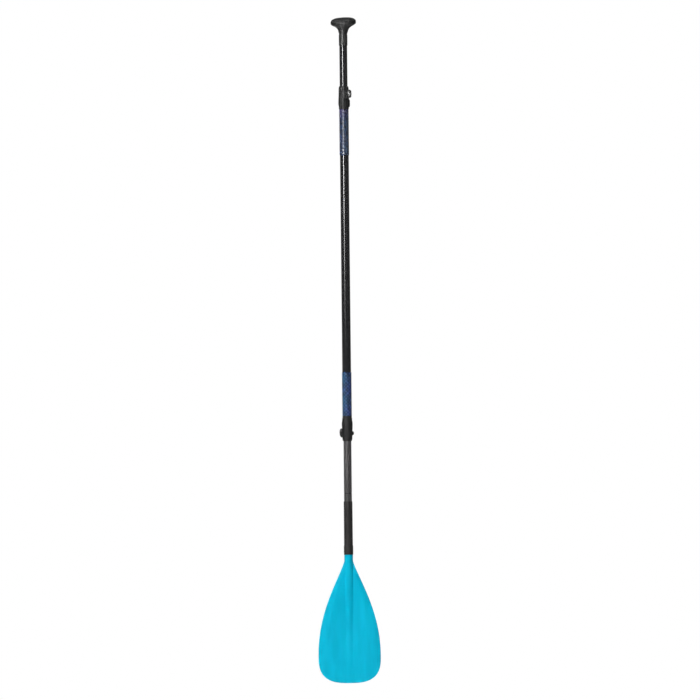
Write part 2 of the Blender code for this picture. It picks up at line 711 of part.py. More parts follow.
def build_blade_section():
    tube_foot = BLADE_TIP + NECK_TOP + GAP
    tube = tube_mesh("blade_tube", INNER_TUBE_RADIUS, INNER_TUBE_BORE, tube_foot, BLADE_TUBE_TOP)
    add_object("blade_tube", tube, grey_tube)
    foot = BLADE_TIP + SLEEVE_FOOT
    sleeve = [
        (SLEEVE_RADIUS_TOP, SLEEVE_TOP),
        (SLEEVE_RADIUS_LOW, tube_foot + SLEEVE_STEP),
        (SLEEVE_RADIUS_NECK, tube_foot - 0.0005),
        (SLEEVE_RADIUS_NECK, foot),
        (NECK_RADIUS + GAP, foot),
        (NECK_RADIUS + GAP, tube_foot + GAP),
        (SLIDING_BORE, tube_foot + GAP),
        (SLIDING_BORE, SLEEVE_TOP),
    ]
    add_object("neck_sleeve", turned_mesh("neck_sleeve", sleeve), sleeve_rubber)
    build_blade()
    build_plug("blade", BLADE_TUBE_TOP, True)


def build_handle_section():
    top = GRIP_FOOT + GRIP_SOCKET_DEPTH - GAP
    tube = tube_mesh("handle_tube", INNER_TUBE_RADIUS, INNER_TUBE_BORE, HANDLE_TUBE_FOOT, top)
    add_object("handle_tube", tube, black_tube)
    build_plug("handle", HANDLE_TUBE_FOOT, False)
    build_grip()


clear_scene()
paddle = new_collection("paddle")
cutters = new_collection("cutters")

black_tube = material("black_gloss_tube", (0.010, 0.010, 0.011), 0.22)
grey_tube = material("grey_satin_tube", (0.075, 0.073, 0.070), 0.45)
blue_wrap = material("blue_grip_wrap", (0.030, 0.080, 0.220), 0.40)
clamp_nylon = material("black_clamp_nylon", (0.016, 0.016, 0.016), 0.45)
lever_nylon = material("black_lever_nylon", (0.013, 0.013, 0.013), 0.50)
grip_plastic = material("black_grip_plastic", (0.014, 0.014, 0.014), 0.42)
soft_rubber = material("black_soft_rubber", (0.012, 0.012, 0.012), 0.65)
sleeve_rubber = material("black_sleeve_rubber", (0.022, 0.021, 0.021), 0.60)
turquoise = material("turquoise_plastic", (0.004, 0.400, 0.640), 0.35)
plug_plastic = material("black_plug_plastic", (0.020, 0.020, 0.020), 0.55)
acetal = material("white_acetal", (0.800, 0.800, 0.780), 0.40)
steel = material("stainless_steel", (0.620, 0.620, 0.600), 0.20, 1.0)

build_middle_section()
build_clamps()
build_handle_section()
build_blade_section()
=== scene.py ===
"""The looks of a three-piece telescopic paddle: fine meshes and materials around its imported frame.

Metres, +Z up the shaft, with the origin on the shaft's axis halfway along the middle tube. The
blade's scooped face looks along -Y, and its width runs along X. Sizes that a node's box gives are
read from the frame, and the other ones are named below.
"""

import json
import math

import bmesh
import bpy
import numpy as np
from mathutils import Matrix, Vector


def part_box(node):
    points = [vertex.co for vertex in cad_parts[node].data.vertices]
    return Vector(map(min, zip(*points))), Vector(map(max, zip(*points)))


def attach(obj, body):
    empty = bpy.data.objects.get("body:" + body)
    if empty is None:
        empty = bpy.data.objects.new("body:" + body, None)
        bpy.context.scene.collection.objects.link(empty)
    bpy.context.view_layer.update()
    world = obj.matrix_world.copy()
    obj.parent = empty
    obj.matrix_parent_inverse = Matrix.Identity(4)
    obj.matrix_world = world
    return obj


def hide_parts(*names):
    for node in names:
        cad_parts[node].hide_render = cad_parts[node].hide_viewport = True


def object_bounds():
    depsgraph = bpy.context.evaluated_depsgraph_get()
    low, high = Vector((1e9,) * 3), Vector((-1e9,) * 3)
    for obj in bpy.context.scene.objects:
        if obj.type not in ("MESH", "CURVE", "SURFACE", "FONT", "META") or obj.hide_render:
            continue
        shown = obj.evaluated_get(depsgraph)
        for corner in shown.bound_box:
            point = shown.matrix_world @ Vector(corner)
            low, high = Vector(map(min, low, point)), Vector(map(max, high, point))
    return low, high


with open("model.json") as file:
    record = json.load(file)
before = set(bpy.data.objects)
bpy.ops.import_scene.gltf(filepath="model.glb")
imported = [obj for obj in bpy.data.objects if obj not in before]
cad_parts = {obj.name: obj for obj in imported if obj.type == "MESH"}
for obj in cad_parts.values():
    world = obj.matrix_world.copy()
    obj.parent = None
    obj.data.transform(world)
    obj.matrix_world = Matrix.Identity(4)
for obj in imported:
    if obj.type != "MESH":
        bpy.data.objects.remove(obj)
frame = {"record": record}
cad_low, cad_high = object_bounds()


def low(node):
    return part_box(node)[0]


def high(node):
    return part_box(node)[1]


def middle(node):
    return (low(node) + high(node)) / 2


def extent(node):
    return high(node) - low(node)


# ---- sizes read from the frame ------------------------------------------------------------------
GAP = 0.0003
OUTER_TUBE_RADIUS = high("middle_tube").x
INNER_TUBE_RADIUS = high("handle_tube").x
SLIDING_BORE = INNER_TUBE_RADIUS + GAP
TUBE_WALL = 0.0013
WRAP_RADIUS = high("upper_grip_wrap").x

MOUTH = high("upper_clamp_collar").z
CLAMP_LENGTH = MOUTH - low("upper_clamp_collar").z
CLAMP_SHOULDER = MOUTH - high("middle_tube").z
BOLT_X = middle("upper_clamp_barrel").x
BARREL_Y = middle("upper_clamp_barrel").y
BOLT_DEPTH = MOUTH - middle("upper_clamp_barrel").z
BARREL_RADIUS = extent("upper_clamp_barrel").x / 2
BARREL_HALF_LENGTH = extent("upper_clamp_barrel").z / 2
BOLT_RADIUS = extent("upper_clamp_bolt").x / 2
BOLT_TIP = low("upper_clamp_bolt").y
BOLT_END = high("upper_clamp_bolt").y
NUT_RADIUS = extent("upper_clamp_nut").x / 2
NUT_FOOT = low("upper_clamp_nut").y
NUT_TOP = high("upper_clamp_nut").y
WASHER_RADIUS = extent("upper_clamp_nut_washer").x / 2
WASHER_SPAN = (low("upper_clamp_nut_washer").y, high("upper_clamp_nut_washer").y)
CAM_WASHER_RADIUS = extent("upper_clamp_cam_washer").x / 2
CAM_WASHER_SPAN = (low("upper_clamp_cam_washer").y, high("upper_clamp_cam_washer").y)
LEVER_HALF_HEIGHT = high("upper_clamp_lever").z - middle("upper_clamp_barrel").z
LEVER_FREE_END = low("upper_clamp_lever").x
LEVER_ROOT_END = high("upper_clamp_lever").x
ARM_OUTER_RADIUS = -low("upper_clamp_lever").y

HANDLE_TUBE_FOOT = low("handle_tube").z
BLADE_TUBE_TOP = high("blade_tube").z
GRIP_FOOT = low("palm_grip").z
SLEEVE_TOP = high("neck_sleeve").z
SLEEVE_BOTTOM = low("neck_sleeve").z
BLADE_TIP = low("blade").z
BLADE_HALF_WIDTH = high("blade").x

# ---- sizes named here, as the real paddle's parts have them --------------------------------------
SIDES = 96  # round a turned piece
EDGE_ROUND = 0.0004
SKIN_MARGIN = 0.001  # room left round a shape in the box that its skin is looked for in

CLAMP_PROFILE = [  # (depth from the mouth, outer radius)
    (0.0000, 0.0148),
    (0.0045, 0.0156),
    (0.0120, 0.0161),
    (0.0300, 0.0165),
    (0.0460, 0.0172),
    (0.0560, 0.0174),
    (0.0640, 0.0164),
    (0.0740, 0.0156),
]
CLAMP_LIP_DEPTH = 0.0042
CLAMP_LIP_GROOVE = 0.00035  # how deep the line under the lip is
CLAMP_SKIRT_GROOVES = (0.0640, 0.0672)
CLAMP_SKIRT_GROOVE = 0.0004
CLAMP_GROOVE_HALF_WIDTH = 0.0005
CLAMP_SEAM = 0.00012  # the parting line left by the mould
CLAMP_SEAM_HALF_WIDTH = 0.0003
CLAMP_SLIT_LENGTH = 0.040
CLAMP_SLIT_WIDTH = 0.0025
SLIT_END_RADIUS = 0.0019
EAR_FACE = 0.0072
EAR_HALF_HEIGHT = 0.0125
EAR_REACH = 0.0058
EAR_CORNER = 0.0055
RIB_SPAN = (0.0425, 0.0665)
RIB_REACH = 0.0196
RIB_HALF_THICKNESS = 0.0065
RIB_CORNER = 0.004
POCKET_RADIUS = 0.0069
COLLAR_FILLET = 0.0030  # where the ears and the rib grow out of it
COLLAR_END_ROUND = 0.0012
EAR_ROUND = 0.0014
SLIT_ROUND = 0.0005
LEAD_IN = (0.0006, 0.0012)  # how far the mouth widens, and over what depth
BOLT_HOLE_RADIUS = BOLT_RADIUS + GAP

CAM_RADIUS = 0.0062
CAM_OFFSET = 0.0004
CAM_ANGLE = math.radians(85)
LEVER_BORE_RADIUS = BARREL_RADIUS + GAP
ARM_INNER_RADIUS = 0.0174
ARM_EDGE_RADIUS = 0.0175
ARM_CROWN_HALF_HEIGHT = 0.0162
ARM_CROWN_DROP = 0.0026
ARM_ROOT_Y = -0.0130
LEVER_CORNER = 0.0080
LEVER_FLARE = 0.28  # how much deeper the free end is than the root, on the skirt's side
LEVER_FILLET = 0.0022  # between the cam and the arm
LEVER_ROUND = 0.0016
LEVER_SLOT_HALF_HEIGHT = 0.0031
LEVER_SLOT_ANGLES = (math.radians(-10), math.radians(90))
LEVER_WINDOW_RADIUS = 0.0032
FINGER_GROOVES = (-0.0002, 0.0020, 0.0042)
FINGER_GROOVE_DEPTH = 0.00045
FINGER_GROOVE_HALF_WIDTH = 0.0006
FINGER_GROOVE_END = (0.0045, 0.002)  # how far from the lever's edge they end, and over what length
LEVER_PANEL = (0.0085, 0.0038, 0.0088)  # its middle's x, half width and half height
LEVER_PANEL_DEPTH = 0.0006
BOLT_DOME = 0.0004
THREAD_PITCH = 0.0008
THREAD_DEPTH = 0.0003
THREAD_RUN_OUT = (0.0012, 0.0016)  # the plain length at each end, and the length it fades over
NUT_FLUTES = 14
NUT_FLUTE_DEPTH = 0.00055
NUT_DOME_HEIGHT = 0.0038

TUBE_GROOVE_HEIGHT = 0.026  # a turned groove in the blade tube, above the sleeve
TUBE_GROOVE_DEPTH = 0.0003
TUBE_GROOVE_HALF_WIDTH = 0.0018
TUBE_GROOVE_FLOOR_HALF_WIDTH = 0.0016

WRAP_COLUMNS = 8  # of diamonds, round the sleeve
WRAP_ROWS = 13  # of diamonds, down the sleeve
WRAP_RAISE = 0.00015
WRAP_GROOVE_DEPTH = 0.00050
WRAP_BAND = 0.0062  # a plain black band at the lower sleeve's lower end
WRAP_BAND_COLOUR = (0.012, 0.012, 0.013)
WRAP_GROOVE_PAINTED_SHADE = 0.75  # how much darker painted shade makes the grooves
WRAP_PILLOW = 0.0024  # how far a groove's slope reaches into a diamond
WRAP_FACET_HALF_WIDTH = 0.0021
WRAP_END_FADE = 0.035  # how far the hue of a sleeve's top end reaches down
WRAP_SPREAD = 0.8  # how far the diamonds' shades differ
WRAP_PHASE = 10 / 45  # a column of diamonds lies this far left of the front, in columns

GRIP_STATIONS = [  # (height above the cuff's foot, half width, half depth)
    (0.0000, 0.0137, 0.0137),
    (0.0325, 0.0137, 0.0137),
    (0.0375, 0.0133, 0.0133),
    (0.0440, 0.0152, 0.0140),
    (0.0510, 0.0173, 0.0150),
    (0.0560, 0.0209, 0.0162),
    (0.0600, 0.0260, 0.0178),
    (0.0640, 0.0338, 0.0193),
    (0.0680, 0.0395, 0.0205),
    (0.0725, 0.0412, 0.0210),
]
GRIP_TWIST = math.radians(10)
GRIP_SOCKET_DEPTH = 0.030
GRIP_HEAD_TOP = 0.0900
GRIP_DOME_POWER = 2.8
GRIP_HEAD_HEIGHTS = (0.040, 0.064)  # the head starts to lean at the first, and leans fully at the second
GRIP_HEAD_SHIFT = 0.0010
GRIP_HEAD_TILT = math.tan(math.radians(2.2))
GRIP_GROOVE_HEIGHT = 0.0350
GRIP_GROOVE_DEPTH = 0.0005
GRIP_GROOVE_HALF_WIDTH = 0.0007
PAD_FOOT = 0.0710
PAD_THICKNESS = 0.0020
PAD_EDGE = 0.0007

BLADE_WIDEST = 0.087  # heights up the blade are measured from its tip
BLADE_TIP_POWER = 2.85
BLADE_SHOULDER_POWERS = (2.1, 1.27)
NECK_FOOT = 0.395
NECK_TOP = 0.4426
NECK_RADIUS = 0.01375
NECK_EDGE_ROUND = 0.0006
SPIGOT_RADIUS = 0.0109
SPIGOT_LENGTH = 0.080
SPINE_END = 0.046
SPINE_WIDTH_POWER = 0.12
SPINE_HEIGHT_POWER = 0.78
SPINE_FLARE = 1.1  # how much further than a circle's the spine's flanks spread at its lower end
PLATE_HALF_THICKNESS = 0.0023
EDGE_HALF_THICKNESS = 0.0010
SCOOP = 0.0115  # how far the folds stand forward of the middle
SCOOP_END = 0.200  # the scoop flattens out from here to the tip
FOLD = 0.70  # share of the half width at which the face folds back towards its rim
FOLD_SHARPNESS = 14
RIM_BACK = 0.45  # how much of the scoop the rim falls back
SCOOP_POWER = 1.4
CANT = math.tan(math.radians(8))
CANT_BEND = 0.040

SLEEVE_TOP_RADIUS = 0.01365
SLEEVE_FOOT_RADIUS = 0.0140  # of the sleeve's plain part, just above its cuff
SLEEVE_CUFF_HEIGHT = 0.0285

PLUG_SPIGOT_LENGTH = 0.020
PLUG_FLANGE_RADIUS = 0.0123
PLUG_FLANGE = 0.0020
PLUG_WAIST_RADIUS = 0.0095
RING_HEIGHT = 0.0060

BODY_OF = {
    node: body for body, nodes in frame["record"]["behaviour"]["bodies"].items() for node in nodes
}


# ---- mesh tools ---------------------------------------------------------------------------------
def new_object(name, data):
    """An object for the data, linked into the scene."""
    made = bpy.data.objects.new(name, data)
    bpy.context.scene.collection.objects.link(made)
    return made


def mesh_from(name, points, faces, sharp=35):
    """A mesh with its doubled points merged and its normals outward, shaded smooth up to an angle."""
    mesh = bpy.data.meshes.new(name)
    mesh.from_pydata(np.asarray(points).tolist(), [], np.asarray(faces).tolist())
    work = bmesh.new()
    work.from_mesh(mesh)
    bmesh.ops.remove_doubles(work, verts=work.verts, dist=1e-6)
    bmesh.ops.recalc_face_normals(work, faces=work.faces)
    work.to_mesh(mesh)
    work.free()
    mesh.shade_smooth()
    mesh.set_sharp_from_angle(angle=math.radians(sharp))
    return mesh


def strip_faces(rows, columns, wrap_rows=False, wrap_columns=True):
    """The quads of a grid of points, row after row."""
    first = np.arange(rows if wrap_rows else rows - 1)[:, None]
    second = np.arange(columns if wrap_columns else columns - 1)[None, :]
    after_row = (first + 1) % rows
    after_column = (second + 1) % columns
    corners = [
        first * columns + second,
        first * columns + after_column,
        after_row * columns + after_column,
        after_row * columns + second,
    ]
    return np.stack([c.ravel() for c in np.broadcast_arrays(*corners)], axis=1)


def turned(name, profile, sides=SIDES, relief=None, sharp=35):
    """A closed profile of (radius, height) turned about Z.

    relief(angle, radius, height) is added to the radius.
    """
    angles = np.linspace(0, math.tau, sides, endpoint=False)[None, :]
    radius = np.array([point[0] for point in profile])[:, None] + 0 * angles
    height = np.array([point[1] for point in profile])[:, None] + 0 * angles
    if relief:
        radius = radius + relief(angles, radius, height)
    points = np.stack([radius * np.cos(angles), radius * np.sin(angles), height], axis=-1)
    faces = strip_faces(len(profile), sides, wrap_rows=profile[0][0] > 0 or profile[-1][0] > 0)
    return mesh_from(name, points.reshape(-1, 3), faces, sharp)


def rounded(profile, size=EDGE_ROUND, steps=4):
    """The closed profile with each corner that is off the axis rounded by up to size."""
    points = [Vector(point) for point in profile]
    result = []
    for i, corner in enumerate(points):
        before = points[i - 1] - corner
        after = points[(i + 1) % len(points)] - corner
        if corner.x == 0 or before.angle(-after) < math.radians(8):
            result.append(tuple(corner))
            continue
        cut = min(size, before.length / 2.2, after.length / 2.2)
        start = corner + before.normalized() * cut
        end = corner + after.normalized() * cut
        for k in range(steps + 1):
            t = k / steps
            point = start * (1 - t) ** 2 + corner * 2 * t * (1 - t) + end * t**2
            result.append(tuple(point))
    return result


def tube_profile(outer, inner, bottom, top, size=EDGE_ROUND, steps=4):
    """The closed profile of a tube or ring, with its edges rounded by size."""
    return rounded([(outer, top), (outer, bottom), (inner, bottom), (inner, top)], size, steps)


def quarter_round(size, steps):
    """The (inset, rise) pairs of a rounded edge, from the face it starts on to the side it ends on."""
    turns = [math.pi / 2 * k / steps for k in range(steps + 1)]
    return [(size * (1 - math.sin(turn)), size * (1 - math.cos(turn))) for turn in turns]


def dense(profile, step):
    """The closed profile with points added so that none of its edges is longer than step."""
    result = []
    for i, (radius, height) in enumerate(profile):
        next_radius, next_height = profile[(i + 1) % len(profile)]
        result.append((radius, height))
        if radius == 0 and next_radius == 0:
            continue
        count = math.ceil(math.hypot(next_radius - radius, next_height - height) / step)
        for k in range(1, count):
            t = k / count
            result.append((radius + (next_radius - radius) * t, height + (next_height - height) * t))
    return result


def loft(name, rings, sharp=35):
    """A closed skin over rings of equal numbers of points, its ends closed by fans about their middles."""
    rings = [np.asarray(ring) for ring in rings]
    count = len(rings[0])
    first = np.repeat(rings[0].mean(axis=0)[None, :], count, axis=0)
    last = np.repeat(rings[-1].mean(axis=0)[None, :], count, axis=0)
    rows = [first, *rings, last]
    return mesh_from(name, np.concatenate(rows), strip_faces(len(rows), count), sharp)


def smooth_through(points, at):
    """The values at `at` of a smooth curve through (position, value, ...) points."""
    at = min(max(at, points[0][0]), points[-1][0])
    index = max(i for i, point in enumerate(points[:-1]) if point[0] <= at)
    start, end = points[index], points[index + 1]
    before = points[max(index - 1, 0)]
    after = points[min(index + 2, len(points) - 1)]
    span = end[0] - start[0]
    t = (at - start[0]) / span
    values = []
    for k in range(1, len(start)):
        slope_in = span * (end[k] - before[k]) / (end[0] - before[0])
        slope_out = span * (after[k] - start[k]) / (after[0] - start[0])
        value = (2 * t**3 - 3 * t**2 + 1) * start[k] + (t**3 - 2 * t**2 + t) * slope_in
        value += (3 * t**2 - 2 * t**3) * end[k] + (t**3 - t**2) * slope_out
        values.append(value)
    return tuple(values)


# ---- solid shapes as distances ------------------------------------------------------------------
def blend_max(a, b, size):
    """The larger of two distances, with the edge where they meet rounded by size."""
    share = np.maximum(size - np.abs(a - b), 0) / size
    return np.maximum(a, b) + share**2 * size / 4


def blend_min(a, b, size):
    return -blend_max(-a, -b, size)


def cut_from(body, hole, size=0.0005):
    return blend_max(body, -hole, size)


def bump(distance, half_width):
    """1 where distance is 0, falling off to both sides of it."""
    return np.exp(-((distance / half_width) ** 2))


def rounded_box(u, v, half_u, half_v, corner):
    """Distance to a rounded rectangle about the origin."""
    outside_u = np.abs(u) - half_u + corner
    outside_v = np.abs(v) - half_v + corner
    outside = np.hypot(np.maximum(outside_u, 0), np.maximum(outside_v, 0))
    return outside + np.minimum(np.maximum(outside_u, outside_v), 0) - corner


def skin(name, distance, lowest, highest, cell, keep):
    """A mesh of the surface where distance(x, y, z) is 0. One point lies in each cell that it crosses."""
    axes = [np.arange(a, b + cell, cell) for a, b in zip(lowest, highest)]
    value = distance(*np.meshgrid(*axes, indexing="ij"))
    cells = tuple(size - 1 for size in value.shape)
    totals = np.zeros((math.prod(cells), 4))
    quads = []
    for axis in range(3):
        first = np.take(value, range(value.shape[axis] - 1), axis)
        second = np.take(value, range(1, value.shape[axis]), axis)
        crosses = (first < 0) != (second < 0)
        where = np.argwhere(crosses)
        crossing = where.astype(float)
        crossing[:, axis] += first[crosses] / (first[crosses] - second[crosses])
        side, other = (axis + 1) % 3, (axis + 2) % 3
        around = []
        for step_side, step_other in ((0, 0), (1, 0), (1, 1), (0, 1)):
            cell_at = where.copy()
            cell_at[:, side] -= step_side
            cell_at[:, other] -= step_other
            index = np.ravel_multi_index(cell_at.T, cells)
            around.append(index)
            for k in range(3):
                totals[:, k] += np.bincount(index, crossing[:, k], len(totals))
            totals[:, 3] += np.bincount(index, minlength=len(totals))
        quads.append(np.stack(around, axis=1))
    used = np.flatnonzero(totals[:, 3])
    number = np.full(len(totals), -1)
    number[used] = np.arange(len(used))
    points = np.array(lowest) + totals[used, :3] / totals[used, 3:] * cell
    points = settled(distance, points, cell)
    return thinned(mesh_from(name, points, number[np.concatenate(quads)], 180), keep)


def settled(distance, points, cell):
    """The points moved onto the surface where distance is 0, by no more than a cell."""
    start = points.copy()
    step = cell * 0.05
    for _ in range(3):
        here = distance(*points.T)
        slope = np.zeros_like(points)
        for k in range(3):
            shift = np.zeros(3)
            shift[k] = step
            slope[:, k] = (distance(*(points + shift).T) - distance(*(points - shift).T)) / (2 * step)
        size = np.maximum((slope**2).sum(axis=1), 0.25)
        points = points - (here / size)[:, None] * slope
        points = np.clip(points, start - cell, start + cell)
    return points


def thinned(mesh, keep):
    """The mesh with only that share of its triangles kept, where its surface needs them most."""
    obj = new_object(mesh.name, mesh)
    modifier = obj.modifiers.new("Thin", "DECIMATE")
    modifier.ratio = keep
    graph = bpy.context.evaluated_depsgraph_get()
    made = bpy.data.meshes.new_from_object(obj.evaluated_get(graph))
    bpy.data.objects.remove(obj)
    made.name = mesh.name
    return made


# ---- material tools -----------------------------------------------------------------------------
def add_node(tree, kind, inputs=None, **settings):
    """A node of that kind with those settings and input values."""
    node = tree.nodes.new(f"ShaderNode{kind}")
    for name, value in settings.items():
        setattr(node, name, value)
    for name, value in (inputs or {}).items():
        node.inputs[name].default_value = value
    return node


def connect(tree, *wires):
    """Links the nodes of a tree by wires of (node, its output, next node, its input)."""
    for source, output, target, place in wires:
        tree.links.new(source.outputs[output], target.inputs[place])


class Finish:
    """One procedural material and the record's material slot that it shows."""

    def __init__(self, slot, name, colour, roughness, metallic=0.0, specular=0.5):
        self.slot = slot
        self.material = bpy.data.materials.new(name)
        self.material.use_nodes = True
        self.material.diffuse_color = (*colour, 1)
        self.tree = self.material.node_tree
        self.shader = self.tree.nodes["Principled BSDF"]
        self.shader.inputs["Base Color"].default_value = (*colour, 1)
        self.shader.inputs["Roughness"].default_value = roughness
        self.shader.inputs["Metallic"].default_value = metallic
        self.shader.inputs["Specular IOR Level"].default_value = specular
        self.place = add_node(self.tree, "TexCoord").outputs["Object"]
        self.bump = None

    def link(self, output, target):
        self.tree.links.new(output, target)

    def noise(self, size, stretch=(1, 1, 1), detail=3.0, warp=0.0):
        """Noise with features about size across, longer along an axis where stretch is larger."""
        mapping = add_node(self.tree, "Mapping", {"Scale": [1 / (size * s) for s in stretch]})
        texture = add_node(self.tree, "TexNoise", {"Scale": 1, "Detail": detail, "Distortion": warp})
        self.link(self.place, mapping.inputs["Vector"])
        self.link(mapping.outputs["Vector"], texture.inputs["Vector"])
        return texture.outputs["Fac"]

    def between(self, factor, at, values):
        """factor mapped from the range `at` to the range `values`."""
        limits = {"From Min": at[0], "From Max": at[1], "To Min": values[0], "To Max": values[1]}
        ranged = add_node(self.tree, "MapRange", limits, interpolation_type="SMOOTHSTEP")
        self.link(factor, ranged.inputs["Value"])
        return ranged.outputs["Result"]

    def stored(self, name):
        """The outputs of what the mesh stores under a name."""
        return add_node(self.tree, "Attribute", attribute_name=name).outputs

    def colours(self, factor, first, second, how="MIX", base=None):
        """Base colour mixed from first to second by factor, or combined with what base gives."""
        mix = add_node(self.tree, "Mix", data_type="RGBA", blend_type=how, clamp_factor=True)
        self.link(factor, mix.inputs["Factor"])
        if base is None:
            mix.inputs[6].default_value = (*first, 1)
        else:
            self.link(base, mix.inputs[6])
        mix.inputs[7].default_value = (*second, 1)
        self.link(mix.outputs[2], self.shader.inputs["Base Color"])
        return mix.outputs[2]

    def roughness(self, factor, at, values):
        self.link(self.between(factor, at, values), self.shader.inputs["Roughness"])

    def relief(self, factor, depth, strength=1.0):
        """Fine relief of that depth, on top of any already there."""
        bump = add_node(self.tree, "Bump", {"Distance": depth, "Strength": strength})
        self.link(factor, bump.inputs["Height"])
        if self.bump:
            self.link(self.bump, bump.inputs["Normal"])
        self.bump = bump.outputs["Normal"]
        self.link(self.bump, self.shader.inputs["Normal"])


def gloss_tube_finish():
    """Gloss black coat with faint orange peel, and fine wear streaks along the tube."""
    finish = Finish("gloss_black_tube", "gloss_black_coat", (0.008, 0.008, 0.009), 0.17)
    finish.colours(finish.noise(0.004, (1, 1, 30), 4), (0.006, 0.006, 0.007), (0.013, 0.013, 0.014))
    finish.roughness(finish.noise(0.0012, (1, 1, 80), 3), (0.35, 0.75), (0.09, 0.18))
    finish.relief(finish.noise(0.0022, (1, 1, 1.5), 1), 0.000004)
    return finish


def satin_tube_finish():
    """Satin grey coat, brushed lengthwise, with painted shade darkening the groove that the mesh marks."""
    finish = Finish("satin_grey_tube", "satin_grey_coat", (0.075, 0.074, 0.071), 0.46)
    coat = finish.colours(finish.noise(0.0014, (1, 1, 60), 4), (0.035, 0.033, 0.034), (0.057, 0.054, 0.055))
    # painted shade: near-black in the groove that the mesh marks
    finish.colours(finish.stored("groove")["Fac"], None, (0.006, 0.006, 0.006), "MIX", coat)
    finish.roughness(finish.noise(0.0009, (1, 1, 90), 3), (0.3, 0.7), (0.40, 0.54))
    finish.relief(finish.noise(0.0007, (1, 1, 70), 3), 0.000012)
    return finish


def wrap_finish(name, top_roughness, specular):
    """Soft plastic, matt in its grooves and polished on its high places. The mesh stores its colours."""
    finish = Finish("blue_wrap", name, (0.02, 0.04, 0.10), 0.45, 0.0, specular)
    mottle = finish.between(finish.noise(0.0015, detail=4), (0.3, 0.7), (0.0, 0.45))
    finish.colours(mottle, None, (0.55, 0.60, 0.72), "MULTIPLY", finish.stored("tint")["Color"])
    finish.roughness(finish.stored("rise")["Fac"], (0.90, 0.99), (0.92, top_roughness))
    finish.relief(finish.noise(0.0005, detail=2), 0.000012)
    return finish


def moulded_finish(slot, grey, roughness, grain, depth, specular=0.5, warmth=0.0):
    """Black moulded plastic or rubber with a fine spark texture and slight mottling."""
    colour = (grey + warmth, grey, grey)
    finish = Finish(slot, f"black_{slot}", colour, roughness, 0.0, specular)
    dark = [0.75 * c for c in colour]
    light = [1.35 * c for c in colour]
    finish.colours(finish.noise(0.006, detail=5), dark, light)
    finish.roughness(finish.noise(0.003, detail=4), (0.3, 0.7), (roughness - 0.06, roughness + 0.06))
    finish.relief(finish.noise(grain, detail=3), depth)
    return finish


def sleeve_finish():
    """Matt rubber, drawn tight lengthwise."""
    finish = moulded_finish("sleeve_rubber", 0.014, 0.60, 0.0006, 0.00003, 0.3, 0.001)
    finish.relief(finish.noise(0.0016, (1, 1, 14), 3), 0.00005)
    return finish


def blade_finish():
    """Satin polypropylene, with the faint streaks that the melt leaves as it fans out from the neck."""
    finish = Finish("blade_plastic", "turquoise_polypropylene", (0.0005, 0.42, 0.64), 0.45, 0.0, 0.05)
    flow = finish.between(finish.noise(0.022, (1, 1, 9), 3, 0.3), (0.32, 0.68), (0, 1))
    finish.colours(flow, (0.0008, 0.395, 0.575), (0.0030, 0.450, 0.640))
    finish.roughness(finish.noise(0.010, (1, 1, 3), 4), (0.3, 0.7), (0.36, 0.48))
    finish.relief(finish.noise(0.0008, detail=2), 0.000010)
    return finish


def acetal_finish():
    """White turned acetal."""
    finish = Finish("acetal", "white_acetal", (0.80, 0.80, 0.78), 0.38)
    finish.colours(finish.noise(0.003, detail=4), (0.74, 0.74, 0.71), (0.84, 0.84, 0.82))
    finish.roughness(finish.noise(0.0009, detail=3), (0.3, 0.7), (0.30, 0.44))
    finish.relief(finish.noise(0.0004, detail=2), 0.000010)
    return finish


def steel_finish():
    """Bright stainless steel with fine turning marks."""
    finish = Finish("steel", "bright_stainless_steel", (0.86, 0.86, 0.85), 0.24, 1.0)
    finish.colours(finish.noise(0.0020, detail=4), (0.78, 0.78, 0.77), (0.92, 0.92, 0.91))
    finish.roughness(finish.noise(0.0004, (6, 6, 1), 3), (0.3, 0.7), (0.40, 0.52))
    finish.relief(finish.noise(0.0003, (8, 8, 1), 2), 0.000004)
    return finish


gloss_tube = gloss_tube_finish()
satin_tube = satin_tube_finish()
upper_wrap = wrap_finish("navy_wrap", 0.24, 0.9)
lower_wrap = wrap_finish("blue_wrap", 0.34, 0.5)
clamp_nylon = moulded_finish("clamp_nylon", 0.012, 0.54, 0.0007, 0.00002, 0.3)
lever_nylon = moulded_finish("lever_nylon", 0.013, 0.48, 0.0005, 0.00003)
grip_plastic = moulded_finish("grip_plastic", 0.012, 0.42, 0.0008, 0.00002)
pad_rubber = moulded_finish("pad_rubber", 0.010, 0.66, 0.0006, 0.00005, 0.3)
sleeve_rubber = sleeve_finish()
blade_plastic = blade_finish()
plug_plastic = moulded_finish("plug_plastic", 0.020, 0.50, 0.0007, 0.00003)
acetal = acetal_finish()
steel = steel_finish()


def add_piece(node, mesh, finish, place=None):
    """Shows the mesh in place of a CAD node, riding on that node's body."""
    piece = new_object(f"fine_{node}", mesh)
    mesh.materials.clear()
    mesh.materials.append(finish.material)
    if place is not None:
        piece.matrix_world = place
    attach(piece, BODY_OF[node])
    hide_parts(node)
    return piece


# ---- clamps -------------------------------------------------------------------------------------
def on_bolt_axis(mesh):
    """Turns a mesh made about Z so that its height runs along Y, on the bolt's axis."""
    mesh.transform(Matrix.Translation((BOLT_X, 0, -BOLT_DEPTH)) @ Matrix.Rotation(math.radians(-90), 4, "X"))
    return mesh


